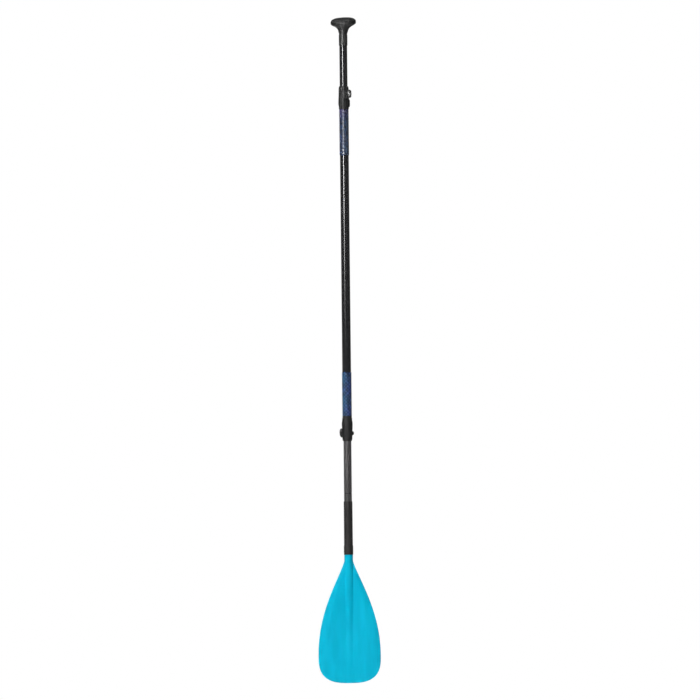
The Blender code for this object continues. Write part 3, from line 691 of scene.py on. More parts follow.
def collar_distance(x, y, z):
    """The clamp's moulded collar, with its mouth at height 0 and its skirt below."""
    depths = np.linspace(0, CLAMP_LENGTH, 75)
    radii = np.array([smooth_through(CLAMP_PROFILE, depth)[0] for depth in depths])
    radius = np.hypot(x, y)
    outer = np.interp(-z, depths, radii)
    outer = outer - CLAMP_LIP_GROOVE * bump(z + CLAMP_LIP_DEPTH, CLAMP_GROOVE_HALF_WIDTH)
    for depth in CLAMP_SKIRT_GROOVES:
        outer = outer - CLAMP_SKIRT_GROOVE * bump(z + depth, CLAMP_GROOVE_HALF_WIDTH)
    seam = CLAMP_SEAM * bump(y, CLAMP_SEAM_HALF_WIDTH) * (x < 0)
    body = blend_max(radius - outer - seam, blend_max(z, -CLAMP_LENGTH - z, 0.001), COLLAR_END_ROUND)

    ear_root = SLIDING_BORE * 0.6
    ear_middle = (ear_root + BOLT_X + EAR_REACH) / 2
    ear_half = (BOLT_X + EAR_REACH - ear_root) / 2
    ears = rounded_box(x - ear_middle, z + BOLT_DEPTH, ear_half, EAR_HALF_HEIGHT, EAR_CORNER)
    ears = blend_max(ears, np.abs(y) - EAR_FACE, EAR_ROUND)
    body = blend_min(body, ears, COLLAR_FILLET)
    rib_half_height = (RIB_SPAN[1] - RIB_SPAN[0]) / 2
    from_rib = z + RIB_SPAN[0] + rib_half_height
    rib = rounded_box(x - RIB_REACH / 2, from_rib, RIB_REACH / 2, rib_half_height, RIB_CORNER)
    rib = blend_max(rib, np.abs(y) - RIB_HALF_THICKNESS, COLLAR_FILLET)
    body = blend_min(body, rib, COLLAR_FILLET)

    along_bolt = np.hypot(x - BOLT_X, z + BOLT_DEPTH)
    pockets = np.maximum(along_bolt - POCKET_RADIUS, EAR_FACE - np.abs(y))
    body = cut_from(body, pockets, 0.0007)
    body = cut_from(body, along_bolt - BOLT_HOLE_RADIUS)
    widening, reach = LEAD_IN
    mouth = SLIDING_BORE + widening * np.clip(1 + z / reach, 0, 1)
    bore = np.where(z > -CLAMP_SHOULDER, mouth, OUTER_TUBE_RADIUS + GAP)
    body = cut_from(body, radius - bore, 0.0003)
    slit = np.maximum(np.abs(y) - CLAMP_SLIT_WIDTH / 2, -CLAMP_SLIT_LENGTH + SLIT_END_RADIUS - z)
    slit_end = np.hypot(y, z + CLAMP_SLIT_LENGTH - SLIT_END_RADIUS) - SLIT_END_RADIUS
    slit = np.maximum(np.minimum(slit, slit_end), -x)
    return cut_from(body, slit, SLIT_ROUND)


def collar_mesh():
    edge = 0.0190
    lowest = (-edge, -edge, -CLAMP_LENGTH - SKIN_MARGIN)
    highest = (BOLT_X + EAR_REACH + SKIN_MARGIN, edge, SKIN_MARGIN)
    return skin("collar", collar_distance, lowest, highest, cell=0.00038, keep=0.28)


def lever_distance(x, y, z):
    """The cam and the arm that wraps round the collar, shut."""
    z = z + BOLT_DEPTH
    from_bolt, from_barrel = x - BOLT_X, y - BARREL_Y
    cam_x = from_bolt - CAM_OFFSET * math.cos(CAM_ANGLE)
    cam_y = from_barrel - CAM_OFFSET * math.sin(CAM_ANGLE)
    cam = np.hypot(cam_x, cam_y) - CAM_RADIUS
    radius = np.hypot(x, y)
    up_crown = np.clip((z + ARM_CROWN_DROP) / ARM_CROWN_HALF_HEIGHT, -0.98, 0.98)
    outer = ARM_EDGE_RADIUS + (ARM_OUTER_RADIUS - ARM_EDGE_RADIUS) * np.sqrt(1 - up_crown**2)
    from_edge, fade = FINGER_GROOVE_END
    groove_room = np.clip((LEVER_HALF_HEIGHT - from_edge - np.abs(z)) / fade, 0, 1)
    for at in FINGER_GROOVES:
        outer = outer - FINGER_GROOVE_DEPTH * groove_room * bump(x - at, FINGER_GROOVE_HALF_WIDTH)
    panel_x, panel_width, panel_height = LEVER_PANEL
    panel = rounded_box(x - panel_x, z, panel_width, panel_height, 0.0025)
    outer = outer - LEVER_PANEL_DEPTH * np.clip(0.5 - panel / LEVER_PANEL_DEPTH, 0, 1)
    arm = np.maximum(ARM_INNER_RADIUS - radius, radius - outer)
    arm = blend_max(arm, y - ARM_ROOT_Y, 0.0008)
    body = blend_min(cam, arm, LEVER_FILLET)
    half_width = (LEVER_ROOT_END - LEVER_FREE_END) / 2
    flare = 1 + LEVER_FLARE * (LEVER_ROOT_END - x) / (2 * half_width) * (z < 0)
    from_middle = x - LEVER_FREE_END - half_width
    outline = rounded_box(from_middle, z / flare, half_width, LEVER_HALF_HEIGHT, LEVER_CORNER)
    body = blend_max(body, outline, LEVER_ROUND)
    barrel = np.hypot(from_bolt, from_barrel)
    body = cut_from(body, barrel - LEVER_BORE_RADIUS, 0.0006)
    first, last = LEVER_SLOT_ANGLES
    past_first = from_barrel * math.cos(first) - from_bolt * math.sin(first)
    past_last = from_bolt * math.sin(last) - from_barrel * math.cos(last)
    wedge = -np.minimum(past_first, past_last) - BOLT_HOLE_RADIUS
    slot = np.maximum(np.maximum(wedge, np.abs(z) - LEVER_SLOT_HALF_HEIGHT), barrel - 2 * CAM_RADIUS)
    body = cut_from(body, slot, 0.0004)
    window = np.maximum(np.hypot(from_bolt, z) - LEVER_WINDOW_RADIUS, from_barrel)
    return cut_from(body, window, 0.0006)


def lever_mesh():
    edge = SKIN_MARGIN
    half = LEVER_HALF_HEIGHT * (1 + LEVER_FLARE) + edge
    lowest = (LEVER_FREE_END - edge, -ARM_OUTER_RADIUS - edge, -BOLT_DEPTH - half)
    highest = (LEVER_ROOT_END + edge, BARREL_Y + CAM_RADIUS + 2 * edge, -BOLT_DEPTH + half)
    return skin("lever", lever_distance, lowest, highest, cell=0.00030, keep=0.40)


def barrel_distance(x, y, z):
    """The cross barrel, with the bolt's hole through it."""
    z = z + BOLT_DEPTH
    from_bolt, from_barrel = x - BOLT_X, y - BARREL_Y
    body = blend_max(np.hypot(from_bolt, from_barrel) - BARREL_RADIUS, np.abs(z) - BARREL_HALF_LENGTH, 0.0014)
    return cut_from(body, np.hypot(from_bolt, z) - BOLT_HOLE_RADIUS, 0.0006)


def barrel_mesh():
    across = BARREL_RADIUS + 0.0008
    along = BARREL_HALF_LENGTH + 0.0008
    lowest = (BOLT_X - across, BARREL_Y - across, -BOLT_DEPTH - along)
    highest = (BOLT_X + across, BARREL_Y + across, -BOLT_DEPTH + along)
    return skin("barrel", barrel_distance, lowest, highest, cell=0.00025, keep=0.40)


def thread(angle, radius, height):
    """A helical groove in a rod's side, run out at both of its ends."""
    turn = height / THREAD_PITCH - angle / math.tau
    ramp = np.abs(turn - np.round(turn)) * 2
    from_ends = np.minimum(height - BOLT_TIP, BOLT_END - height)
    plain, fade = THREAD_RUN_OUT
    run_out = np.clip((from_ends - plain) / fade, 0, 1)
    side = (radius > BOLT_RADIUS * 0.98) & (radius > 0)
    return -THREAD_DEPTH * ramp * run_out * side


def bolt_mesh():
    """A threaded stud with a slightly domed end where it shows."""
    dome = [(BOLT_RADIUS * k / 8, BOLT_TIP + BOLT_DOME * (k / 8) ** 2) for k in range(8, -1, -1)]
    rod = [(0, BOLT_END), (BOLT_RADIUS, BOLT_END), *dome]
    return on_bolt_axis(turned("bolt", dense(rounded(rod, 0.0004), THREAD_PITCH / 5), 32, thread, 50))


def flutes(angle, radius, height):
    """Scallops round the nut's side, fading towards its foot and its dome."""
    scallop = np.maximum(np.cos(angle * NUT_FLUTES), 0) ** 1.5
    above_foot = np.clip((height - NUT_FOOT - 0.0006) / 0.0010, 0, 1)
    room = above_foot * np.clip((NUT_TOP - 0.0018 - height) / 0.0020, 0, 1)
    side = radius > NUT_RADIUS * 0.75
    return -NUT_FLUTE_DEPTH * scallop * room * side


def nut_mesh():
    shoulder = NUT_TOP - NUT_DOME_HEIGHT
    hole_end = BOLT_END + 0.0004
    dome = []
    for k in range(13):
        turn = math.radians(90 - 7.5 * k)
        dome.append((NUT_RADIUS * math.cos(turn), shoulder + NUT_DOME_HEIGHT * math.sin(turn)))
    dome[0] = (0, NUT_TOP)
    foot = [
        (NUT_RADIUS, NUT_FOOT),
        (BOLT_HOLE_RADIUS, NUT_FOOT),
        (BOLT_HOLE_RADIUS, hole_end),
        (0, hole_end),
    ]
    return on_bolt_axis(turned("thumb_nut", dense(rounded(dome + foot), 0.0005), 168, flutes, 50))


def washer_mesh(name, radius, span):
    return on_bolt_axis(turned(name, tube_profile(radius, BOLT_HOLE_RADIUS, *span, 0.0002, 3), 64))


def build_clamps():
    """The pieces of one clamp, placed twice: the lower one upside down, its ears behind the shaft."""
    pieces = {
        "collar": (collar_mesh(), clamp_nylon),
        "lever": (lever_mesh(), lever_nylon),
        "barrel": (barrel_mesh(), steel),
        "bolt": (bolt_mesh(), steel),
        "nut": (nut_mesh(), lever_nylon),
        "nut_washer": (washer_mesh("nut_washer", WASHER_RADIUS, WASHER_SPAN), steel),
        "cam_washer": (washer_mesh("cam_washer", CAM_WASHER_RADIUS, CAM_WASHER_SPAN), acetal),
    }
    turned_over = Matrix.Rotation(math.radians(90), 4, "Z") @ Matrix.Rotation(math.pi, 4, "X")
    places = {
        "upper_clamp": Matrix.Translation((0, 0, MOUTH)),
        "lower_clamp": Matrix.Translation((0, 0, -MOUTH)) @ turned_over,
    }
    for clamp, place in places.items():
        for part, (mesh, finish) in pieces.items():
            add_piece(f"{clamp}_{part}", mesh, finish, place)


# ---- tubes --------------------------------------------------------------------------------------
def blade_tube_mesh():
    """The blade's tube, with a shallow groove whose points are marked for the finish's painted shade."""
    bore = INNER_TUBE_RADIUS - TUBE_WALL
    profile = tube_profile(INNER_TUBE_RADIUS, bore, low("blade_tube").z, BLADE_TUBE_TOP)
    groove = SLEEVE_TOP + TUBE_GROOVE_HEIGHT
    edge, floor = TUBE_GROOVE_HALF_WIDTH, TUBE_GROOVE_FLOOR_HALF_WIDTH
    sides = [(edge, 0), (floor, -TUBE_GROOVE_DEPTH), (-floor, -TUBE_GROOVE_DEPTH), (-edge, 0)]
    cut = [(INNER_TUBE_RADIUS + deeper, groove + above) for above, deeper in sides]
    outside = [i for i, point in enumerate(profile) if point[0] == INNER_TUBE_RADIUS]
    after = max(i for i in outside if profile[i][1] > groove) + 1
    mesh = turned("blade_tube", profile[:after] + cut + profile[after:])
    # marks the groove's points, where the finish paints shade
    groove_shade_mask = [float(abs(vertex.co.z - groove) < (edge + floor) / 2) for vertex in mesh.vertices]
    mesh.attributes.new("groove", "FLOAT", "POINT").data.foreach_set("value", groove_shade_mask)
    return mesh


def build_tubes():
    end = high("middle_tube").z
    profile = tube_profile(OUTER_TUBE_RADIUS, SLIDING_BORE, -end, end)
    add_piece("middle_tube", turned("middle_tube", profile), gloss_tube)
    bore = INNER_TUBE_RADIUS - TUBE_WALL
    profile = tube_profile(INNER_TUBE_RADIUS, bore, HANDLE_TUBE_FOOT, high("handle_tube").z)
    add_piece("handle_tube", turned("handle_tube", profile), gloss_tube)
    add_piece("blade_tube", blade_tube_mesh(), satin_tube)


# ---- grip sleeves -------------------------------------------------------------------------------
def diamond_places(angle, height, top, length):
    """Where a point lies in the two families of crossed grooves round a sleeve, in groove spacings."""
    across = (angle / math.tau + 0.25) * WRAP_COLUMNS + WRAP_PHASE
    down = (top - height) / length * WRAP_ROWS
    return across + down, across - down


def diamond_rise(angle, height, top, length):
    """0 in the grooves, rising to 1 on the middles of the pillowed diamonds between them."""
    width = math.tau * WRAP_RADIUS / WRAP_COLUMNS
    tall = length / WRAP_ROWS
    spacing = width * tall / math.hypot(width, tall)
    first, second = diamond_places(angle, height, top, length)
    nearest = np.minimum(np.abs(first - np.round(first)), np.abs(second - np.round(second))) * spacing
    return 1 - (1 - np.minimum(nearest / WRAP_PILLOW, 1)) ** 2


def diamond_facet(angle, height, top, length):
    """How far a diamond's middle is pressed in to make its top a flat facet instead of a curved one."""
    first, second = diamond_places(angle, height, top, length)
    off_middle = (first + second - np.floor(first) - np.floor(second) - 1) / 2
    turn = off_middle * math.tau / WRAP_COLUMNS
    edge = WRAP_FACET_HALF_WIDTH / WRAP_RADIUS
    return WRAP_RADIUS * np.maximum(edge**2 - turn**2, 0) / 2


def wrap_relief(top, length):
    """The relief on a sleeve's outer side, run out at its ends."""

    def relief(angle, radius, height):
        outside = radius > WRAP_RADIUS - 0.00005
        ends = np.clip(np.minimum(top - height, height - top + length) / 0.0012, 0, 1)
        rise = diamond_rise(angle, height, top, length)
        pressed = rise * diamond_facet(angle, height, top, length)
        return outside * ends * (WRAP_RAISE - WRAP_GROOVE_DEPTH * (1 - rise) - pressed)

    return relief


def scattered(seed):
    """A steady shuffle of whole numbers into values from 0 to 1."""
    return np.modf(np.abs(np.sin(seed) * 43758.5453))[0]


def paint_wrap(mesh, top, length, base, hues, end_tint, band):
    """Stores each point's colour and rise.

    Each diamond has its own tone, the hue drifts round the shaft, and painted shade darkens the grooves.
    The top of the sleeve takes on end_tint. The last part of it, band high, is plain black.
    """
    points = np.zeros(len(mesh.vertices) * 3)
    mesh.vertices.foreach_get("co", points)
    points = points.reshape(-1, 3)
    angle = np.arctan2(points[:, 1], points[:, 0])
    first, second = diamond_places(angle, points[:, 2], top, length)
    row, column = np.floor(first), np.floor(second)
    turns = (row - column) % (2 * WRAP_COLUMNS)
    rows = (row + column) % 64
    shade = scattered(turns * 12.9898 + rows * 78.233)
    drift = 0.5 + 0.55 * np.cos(angle) + 0.25 * np.sin(points[:, 2] * 90)
    hue = np.clip(drift + 0.4 * (shade - 0.5), 0, 1)[:, None]
    left, right = (np.array(tint) for tint in hues)
    rise = diamond_rise(angle, points[:, 2], top, length)
    # painted shade: the grooves are darkened on top of each diamond's own tone
    light = 1 + WRAP_SPREAD * (shade - 0.5) - WRAP_GROOVE_PAINTED_SHADE * (1 - rise)
    shown = np.clip(light, 0.1, 2)[:, None] * (left + (right - left) * hue) * np.array(base)
    end = np.clip(1 - (top - points[:, 2]) / WRAP_END_FADE, 0, 1)[:, None]
    shown *= 1 + (np.array(end_tint) - 1) * end
    in_band = points[:, 2] < top - length + band
    shown[in_band] = WRAP_BAND_COLOUR
    rise = np.where(in_band, 0, rise)
    colours = np.concatenate([shown, np.ones((len(shown), 1))], axis=1)
    mesh.attributes.new("tint", "FLOAT_COLOR", "POINT").data.foreach_set("color", colours.ravel())
    mesh.attributes.new("rise", "FLOAT", "POINT").data.foreach_set("value", rise)


def build_wraps():
    navy_hues = ((1.15, 0.92, 1.05), (0.70, 1.12, 0.95))
    blue_hues = ((0.80, 1.10, 0.80), (1.35, 0.78, 0.98))
    sleeves = {
        "upper_grip_wrap": (upper_wrap, (0.009, 0.026, 0.074), navy_hues, (2.3, 0.6, 1.2), 0),
        "lower_grip_wrap": (lower_wrap, (0.017, 0.060, 0.175), blue_hues, (1, 1, 1), WRAP_BAND),
    }
    for node, (finish, base, hues, end_tint, band) in sleeves.items():
        top, bottom = high(node).z, low(node).z
        length = top - bottom
        profile = tube_profile(WRAP_RADIUS, OUTER_TUBE_RADIUS + GAP, bottom, top, 0.0003)
        mesh = turned(node, dense(profile, 0.0007), 168, wrap_relief(top, length), 180)
        paint_wrap(mesh, top, length, base, hues, end_tint, band)
        add_piece(node, mesh, finish)


# ---- palm grip ----------------------------------------------------------------------------------
def grip_half_sizes(height):
    """Half width and half depth of the grip at a height above the foot of its cuff."""
    widest = GRIP_STATIONS[-1]
    if height <= widest[0]:
        return smooth_through(GRIP_STATIONS, height)
    rise = min((height - widest[0]) / (GRIP_HEAD_TOP - widest[0]), 1)
    share = (1 - rise**GRIP_DOME_POWER) ** (1 / GRIP_DOME_POWER)
    return widest[1] * share, widest[2] * share


def oval(half_width, half_depth, height):
    """An oval that leans to one side of the shaft as it passes into the head."""
    start, end = GRIP_HEAD_HEIGHTS
    lean = min(max((height - start) / (end - start), 0), 1)
    angles = np.linspace(0, math.tau, SIDES, endpoint=False)
    x, y = half_width * np.cos(angles), half_depth * np.sin(angles)
    return np.stack([x + GRIP_HEAD_SHIFT * lean, y, height + GRIP_HEAD_TILT * lean * x], axis=1)


def grip_oval(height, inset=0.0):
    half_width, half_depth = grip_half_sizes(height)
    return oval(half_width - inset, half_depth - inset, height - inset)


def cuff_ovals():
    """The cuff and the trumpet below the pad, with a shallow groove where they join."""
    ovals = [oval(SLIDING_BORE, SLIDING_BORE, height) for height in (GRIP_SOCKET_DEPTH, EDGE_ROUND)]
    for inset, rise in quarter_round(EDGE_ROUND, 4):
        half = grip_half_sizes(0)[0] - inset
        ovals.append(oval(half, half, rise))
    for height in np.linspace(0.0012, PAD_FOOT - GAP - 0.0006, 120):
        groove = GRIP_GROOVE_DEPTH * bump(height - GRIP_GROOVE_HEIGHT, GRIP_GROOVE_HALF_WIDTH)
        half_width, half_depth = grip_half_sizes(height)
        ovals.append(oval(half_width - groove, half_depth - groove, height))
    return ovals


def dome_heights(start, count):
    """Heights from start up to just under the top, closer together as the dome flattens."""
    top = GRIP_HEAD_TOP - 0.00005
    return [start + (top - start) * math.sin(math.pi / 2 * i / count) for i in range(count + 1)]


def build_grip():
    place = Matrix.Translation((0, 0, GRIP_FOOT)) @ Matrix.Rotation(-GRIP_TWIST, 4, "Z")
    below = PAD_THICKNESS + GAP
    under_pad = [grip_oval(height, below) for height in dome_heights(PAD_FOOT + below - GAP, 30)]
    edge = [grip_oval(PAD_FOOT - GAP + 0.0001 * k, 0.0001 * k**2) for k in range(3)]
    add_piece("palm_grip", loft("palm_grip", [*cuff_ovals(), *edge, *under_pad]), grip_plastic, place)

    outer = [grip_oval(height) for height in dome_heights(PAD_FOOT + PAD_EDGE, 40)]
    half_width, half_depth = grip_half_sizes(PAD_FOOT + PAD_EDGE)
    corner = [
        oval(half_width - inset, half_depth - inset, PAD_FOOT + rise)
        for inset, rise in quarter_round(PAD_EDGE, 4)
    ]
    inner = [grip_oval(height, PAD_THICKNESS) for height in dome_heights(PAD_FOOT + PAD_THICKNESS, 30)]
    add_piece("palm_pad", loft("palm_pad", [*reversed(inner), *corner, *outer]), pad_rubber, place)


# ---- blade --------------------------------------------------------------------------------------
def blade_half_width(height):
    if height < BLADE_WIDEST:
        fall = 1 - height / BLADE_WIDEST
        return BLADE_HALF_WIDTH * (1 - fall**BLADE_TIP_POWER) ** (1 / BLADE_TIP_POWER)
    rise = min((height - BLADE_WIDEST) / (NECK_FOOT - BLADE_WIDEST), 1)
    first, second = BLADE_SHOULDER_POWERS
    return NECK_RADIUS + (BLADE_HALF_WIDTH - NECK_RADIUS) * (1 - rise**first) ** second


def scoop_share(across):
    """How far forward a place across the blade stands: it climbs to a fold, then falls back to the rim."""
    climbing = np.maximum((across / FOLD) ** SCOOP_POWER, 0.001)
    falling = 1 - RIM_BACK * (across - FOLD) / (1 - FOLD)
    return (climbing**-FOLD_SHARPNESS + falling**-FOLD_SHARPNESS) ** (-1 / FOLD_SHARPNESS)


def spine_rise(height):
    """0 at the spine's lower end, 1 at the foot of the neck."""
    return min(max((height - SPINE_END) / (NECK_FOOT - SPINE_END), 0), 1)


def blade_middle(x, height):
    """How far behind the shaft's axis the middle surface lies: its cant, less its scoop."""
    below = max(NECK_FOOT - height, 0)
    cant = CANT * (math.hypot(below, CANT_BEND) - CANT_BEND)
    half_width = max(blade_half_width(height), 1e-5)
    widening = max(half_width - NECK_RADIUS, 0) / (BLADE_HALF_WIDTH - NECK_RADIUS)
    up = min(height / SCOOP_END, 1)
    depth = SCOOP * widening * up**2 * (3 - 2 * up)
    return cant - depth * scoop_share(np.abs(x) / half_width)


def rim_distance(x, height, half_width):
    """About how far in from the blade's outline a point lies."""
    if height < BLADE_WIDEST:
        power = BLADE_TIP_POWER
        across = np.abs(x) / BLADE_HALF_WIDTH
        along = 1 - height / BLADE_WIDEST
        level = np.maximum((across**power + along**power) ** (1 / power), 1e-6)
        slope = np.hypot(
            (across / level) ** (power - 1) / BLADE_HALF_WIDTH,
            (along / level) ** (power - 1) / BLADE_WIDEST,
        )
        return (1 - level) / slope
    step = 0.001
    lean = (blade_half_width(height + step) - blade_half_width(height)) / step
    return (half_width - np.abs(x)) / math.hypot(1, lean)


def blade_half_thickness(x, height, half_width):
    """A thin plate with a round rim, blended into a spine that grows into the round neck."""
    plate = PLATE_HALF_THICKNESS - (PLATE_HALF_THICKNESS - EDGE_HALF_THICKNESS) * (x / half_width) ** 2
    near_rim = np.clip(rim_distance(x, height, half_width) / EDGE_HALF_THICKNESS, 0, 1)
    rise = spine_rise(height)
    plate = plate * np.sqrt(1 - (1 - near_rim) ** 2) * (1 - rise**8)
    spine_width = max(NECK_RADIUS * rise**SPINE_WIDTH_POWER, 1e-6)
    crest = PLATE_HALF_THICKNESS + (NECK_RADIUS - PLATE_HALF_THICKNESS) * rise**SPINE_HEIGHT_POWER
    bell = np.clip(1 - (x / spine_width) ** 2, 0, 1) ** (0.5 + SPINE_FLARE * (1 - rise**3))
    return plate + np.maximum(crest - plate, 0) * bell


def blade_columns(half_width, spine_width):
    """Places across the blade: close together on the spine and towards the rims."""
    start = min(spine_width, half_width * 0.9)
    inner = np.linspace(0, 1, 25)[:-1] * start
    outer = start + (half_width - start) * np.sin(np.linspace(0, math.pi / 2, 56))
    side = np.concatenate([inner, outer])
    return np.concatenate([-side[:0:-1], side])


def ring_of(x, middle_y, half, height):
    """A ring of points along the front from one rim to the other, and back along the back."""
    front = np.stack([x, middle_y - half, height + 0 * x], axis=1)
    back = np.stack([x, middle_y + half, height + 0 * x], axis=1)
    return np.concatenate([front, back[-2:0:-1]])


def blade_ring(height):
    half_width = max(blade_half_width(height), 1e-5)
    spine_width = max(NECK_RADIUS * spine_rise(height) ** SPINE_WIDTH_POWER, 0.0015)
    x = blade_columns(half_width, spine_width)
    return ring_of(x, blade_middle(x, height), blade_half_thickness(x, height, half_width), height)


def round_blade_ring(radius, height):
    """A round ring with as many points as a ring of the blade."""
    x = blade_columns(radius, radius * 0.6)
    return ring_of(x, 0, np.sqrt(np.maximum(radius**2 - x**2, 0)), height)


def build_blade():
    near_tip = [BLADE_WIDEST * share**2 for share in np.linspace(0, 1, 60)]
    above = np.linspace(BLADE_WIDEST, NECK_FOOT, 130)[1:-1]
    rings = [blade_ring(height) for height in [*near_tip, *above]]
    neck_edge = NECK_TOP - NECK_EDGE_ROUND
    rings += [round_blade_ring(NECK_RADIUS, height) for height in np.linspace(NECK_FOOT, neck_edge, 12)]
    for inset, drop in reversed(quarter_round(NECK_EDGE_ROUND, 3)[:-1]):
        rings.append(round_blade_ring(NECK_RADIUS - inset, NECK_TOP - drop))
    spigot_end = NECK_TOP + SPIGOT_LENGTH
    rings += [round_blade_ring(SPIGOT_RADIUS, height) for height in (NECK_TOP, spigot_end - 0.001)]
    rings.append(round_blade_ring(SPIGOT_RADIUS - 0.001, spigot_end))
    add_piece("blade", loft("blade", rings, 50), blade_plastic, Matrix.Translation((0, 0, BLADE_TIP)))


# ---- neck sleeve --------------------------------------------------------------------------------
def build_sleeve():
    """A rubber sleeve over the joint of tube and neck, with a thicker cuff at its foot."""
    step = low("blade_tube").z
    cuff = high("neck_sleeve").x
    cuff_top = SLEEVE_BOTTOM + SLEEVE_CUFF_HEIGHT
    profile = [
        (SLEEVE_TOP_RADIUS, SLEEVE_TOP),
        (SLEEVE_TOP_RADIUS + 0.0002, SLEEVE_TOP - 0.004),
        (SLEEVE_FOOT_RADIUS, cuff_top + 0.003),
        (cuff - 0.0003, cuff_top),
        (cuff, cuff_top - 0.002),
        (cuff, SLEEVE_BOTTOM + 0.0056),
        (cuff - 0.0005, SLEEVE_BOTTOM + 0.0050),
        (cuff - 0.0005, SLEEVE_BOTTOM + 0.0042),
        (cuff, SLEEVE_BOTTOM + 0.0036),
        (cuff, SLEEVE_BOTTOM),
        (NECK_RADIUS + GAP, SLEEVE_BOTTOM),
        (NECK_RADIUS + GAP, step + GAP),
        (SLIDING_BORE, step + GAP),
        (SLIDING_BORE, SLEEVE_TOP),
    ]
    add_piece("neck_sleeve", turned("neck_sleeve", rounded(profile, 0.0005)), sleeve_rubber)


# ---- plugs and glide rings ----------------------------------------------------------------------
def plug_mesh():
    """Plug with its face at height 0, a spigot above it and a groove between two flanges below."""
    inside = INNER_TUBE_RADIUS - TUBE_WALL - GAP
    groove = RING_HEIGHT + 2 * GAP
    foot = -2 * PLUG_FLANGE - groove
    profile = [
        (0, PLUG_SPIGOT_LENGTH),
        (inside - 0.001, PLUG_SPIGOT_LENGTH),
        (inside, PLUG_SPIGOT_LENGTH - 0.002),
        (inside, 0),
        (PLUG_FLANGE_RADIUS, 0),
        (PLUG_FLANGE_RADIUS, -PLUG_FLANGE),
        (PLUG_WAIST_RADIUS, -PLUG_FLANGE),
        (PLUG_WAIST_RADIUS, -PLUG_FLANGE - groove),
        (PLUG_FLANGE_RADIUS, -PLUG_FLANGE - groove),
        (PLUG_FLANGE_RADIUS - 0.0010, foot),
        (0.0080, foot),
        (0.0072, foot + 0.0010),
        (0.0030, foot + 0.0010),
        (0.0024, foot + 0.0002),
        (0, foot + 0.0002),
    ]
    return turned("tube_plug", rounded(profile))


def glide_ring_mesh():
    """A white ring with three shallow grooves round it."""
    top = -PLUG_FLANGE - GAP
    outer, inner = SLIDING_BORE - GAP, PLUG_WAIST_RADIUS + GAP
    side = []
    for k in range(3):
        at = top - RING_HEIGHT * (k + 1) / 4
        side += [(outer, at + 0.0004), (outer - 0.0002, at), (outer, at - 0.0004)]
    profile = [(outer, top), *side, (outer, top - RING_HEIGHT), (inner, top - RING_HEIGHT), (inner, top)]
    return turned("glide_ring", rounded(profile, 0.0003))


def build_plugs():
    plug, ring = plug_mesh(), glide_ring_mesh()
    ends = {
        "handle": Matrix.Translation((0, 0, HANDLE_TUBE_FOOT)),
        "blade": Matrix.Translation((0, 0, BLADE_TUBE_TOP)) @ Matrix.Rotation(math.pi, 4, "X"),
    }
    for section, place in ends.items():
        add_piece(f"{section}_tube_plug", plug, plug_plastic, place)
        add_piece(f"{section}_glide_ring", ring, acetal, place)


# ---- studio -------------------------------------------------------------------------------------
VIEW_WIDTH = 2.24
CAMERA_DISTANCE = 20.0
CAMERA_LEAN = math.radians(0.61)
CAMERA_ASIDE = 0.0114
FLOOR_DROP = 0.20
FLOOR_RADIUS = 1.7
FLOOR_RINGS = 24
AMBIENT_BELOW = 0.12  # how strongly the surround lights the paddle from straight below
AMBIENT_ABOVE = 0.27
STRIP_AZIMUTH = math.radians(-24)
STRIP_DISTANCE = 3.4
STRIP_HALF_WIDTH = 0.17
STRIP_BOTTOM = -0.75
STRIP_TOP = 2.0
STRIP_FULL_HEIGHT = 0.60  # it is at its brightest from here up
STRIP_FALLOFF = 2.2
STRIP_STRENGTH = 67


def build_camera():
    """A long lens in front of the blade's scooped face, rolled so that the paddle leans a little."""
    data = bpy.data.cameras.new("camera")
    data.sensor_width = 36
    data.lens = data.sensor_width * CAMERA_DISTANCE / VIEW_WIDTH
    data.clip_start, data.clip_end = 1, 100
    camera = new_object("camera", data)
    target = Vector((CAMERA_ASIDE, 0, (cad_low.z + cad_high.z) / 2 + 0.002))
    level = Matrix.Rotation(math.radians(90), 4, "X") @ Matrix.Rotation(-CAMERA_LEAN, 4, "Z")
    camera.matrix_world = Matrix.Translation(target + Vector((0, -CAMERA_DISTANCE, 0))) @ level
    bpy.context.scene.camera = camera


def build_world():
    """A white surround, seen plainly, that lights the paddle more softly than it shows."""
    world = bpy.data.worlds.new("studio")
    bpy.context.scene.world = world
    world.use_nodes = True
    tree = world.node_tree
    tree.nodes.clear()
    path = add_node(tree, "LightPath")
    place = add_node(tree, "TexCoord")
    split = add_node(tree, "SeparateXYZ")
    rise = add_node(
        tree,
        "MapRange",
        {"From Min": -1, "From Max": 1, "To Min": AMBIENT_BELOW, "To Max": AMBIENT_ABOVE},
    )
    shown = add_node(tree, "Mix", {"B": 1.0}, data_type="FLOAT")
    surround = add_node(tree, "Background", {"Color": (1, 1, 1, 1)})
    output = add_node(tree, "OutputWorld")
    connect(
        tree,
        (place, "Generated", split, "Vector"),
        (split, "Z", rise, "Value"),
        (path, "Is Camera Ray", shown, "Factor"),
        (rise, "Result", shown, "A"),
        (shown, "Result", surround, "Strength"),
        (surround, "Background", output, "Surface"),
    )


def area_light(name, place, aim, width, height, power):
    data = bpy.data.lights.new(name, "AREA")
    data.shape = "RECTANGLE"
    data.size = width
    data.size_y = height
    data.energy = power
    light = new_object(name, data)
    light.location = place
    light.rotation_mode = "QUATERNION"
    light.rotation_quaternion = (Vector(aim) - Vector(place)).to_track_quat("-Z", "Y")
    light.visible_camera = False
    return light


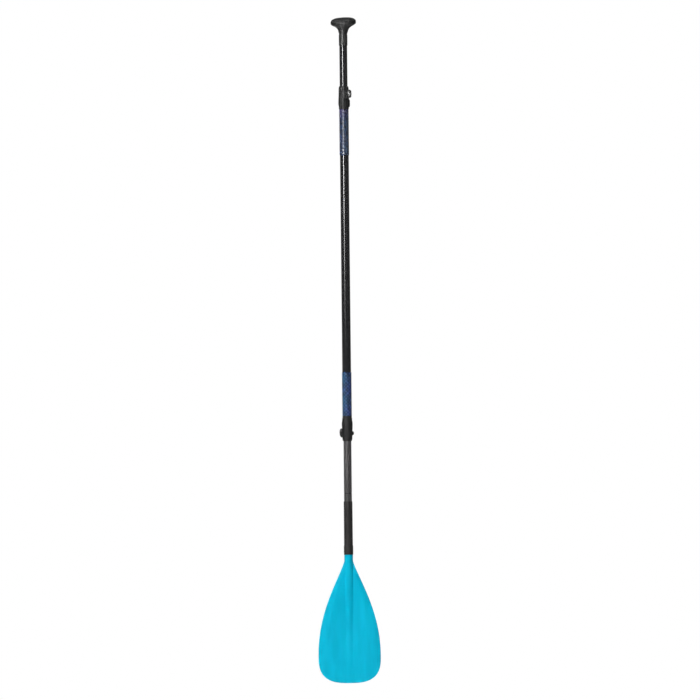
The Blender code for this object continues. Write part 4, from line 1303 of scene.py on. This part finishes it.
def build_strip_light():
    """A tall narrow softbox that dims towards its foot. It draws the line of light down the tubes."""
    centre = Vector((math.sin(STRIP_AZIMUTH), -math.cos(STRIP_AZIMUTH), 0)) * STRIP_DISTANCE
    across = Vector((math.cos(STRIP_AZIMUTH), math.sin(STRIP_AZIMUTH), 0)) * STRIP_HALF_WIDTH
    bottom, top = Vector((0, 0, STRIP_BOTTOM)), Vector((0, 0, STRIP_TOP))
    left, right = centre - across, centre + across
    points = [left + bottom, right + bottom, right + top, left + top]
    mesh = bpy.data.meshes.new("strip_light")
    mesh.from_pydata(points, [], [(0, 1, 2, 3)])
    strip = new_object("strip_light", mesh)
    strip.visible_camera = False
    glow = bpy.data.materials.new("strip_light")
    glow.use_nodes = True
    tree = glow.node_tree
    tree.nodes.clear()
    place = add_node(tree, "TexCoord")
    split = add_node(tree, "SeparateXYZ")
    rise = add_node(tree, "MapRange", {"From Min": STRIP_BOTTOM, "From Max": STRIP_FULL_HEIGHT})
    power = add_node(tree, "Math", {1: STRIP_FALLOFF}, operation="POWER")
    scale = add_node(tree, "Math", {1: STRIP_STRENGTH}, operation="MULTIPLY")
    emission = add_node(tree, "Emission")
    output = add_node(tree, "OutputMaterial")
    connect(
        tree,
        (place, "Object", split, "Vector"),
        (split, "Z", rise, "Value"),
        (rise, "Result", power, 0),
        (power, "Value", scale, 0),
        (scale, "Value", emission, "Strength"),
        (emission, "Emission", output, "Surface"),
    )
    mesh.materials.append(glow)


def build_floor():
    """A pale round floor under the paddle, clear of the blade at its lowest, that fades out at its rim."""
    radii = np.linspace(0, FLOOR_RADIUS, FLOOR_RINGS)
    angles = np.linspace(0, math.tau, SIDES, endpoint=False)
    height = cad_low.z - FLOOR_DROP
    points = [(r * math.cos(a), r * math.sin(a), height) for r in radii for a in angles]
    floor = new_object("floor", mesh_from("floor", points, strip_faces(FLOOR_RINGS, SIDES)))
    pale = Finish(None, "pale_floor", (0.86, 0.86, 0.86), 0.75, 0.0, 0.2)
    distance = add_node(pale.tree, "VectorMath", {1: (0, 0, height)}, operation="DISTANCE")
    pale.link(pale.place, distance.inputs[0])
    fade = pale.between(distance.outputs["Value"], (FLOOR_RADIUS * 0.45, FLOOR_RADIUS * 0.98), (1, 0))
    pale.link(fade, pale.shader.inputs["Alpha"])
    floor.data.materials.append(pale.material)


def build_studio():
    build_camera()
    build_world()
    build_strip_light()
    area_light("front_high", (-2.2, -3.6, 3.6), (0, 0, -0.3), 2.4, 1.6, 150)
    area_light("front_low", (-1.8, -3.4, -3.6), (0, 0, -0.9), 2.2, 1.6, 60)
    area_light("back_high", (1.8, 3.4, 3.2), (0, 0, -0.2), 2.4, 1.6, 130)
    area_light("back_low", (-1.6, 3.4, -3.2), (0, 0, -0.9), 2.0, 1.4, 60)
    build_floor()
    bpy.context.scene.view_settings.view_transform = "Standard"


build_clamps()
build_tubes()
build_wraps()
build_grip()
build_blade()
build_sleeve()
build_plugs()
build_studio()
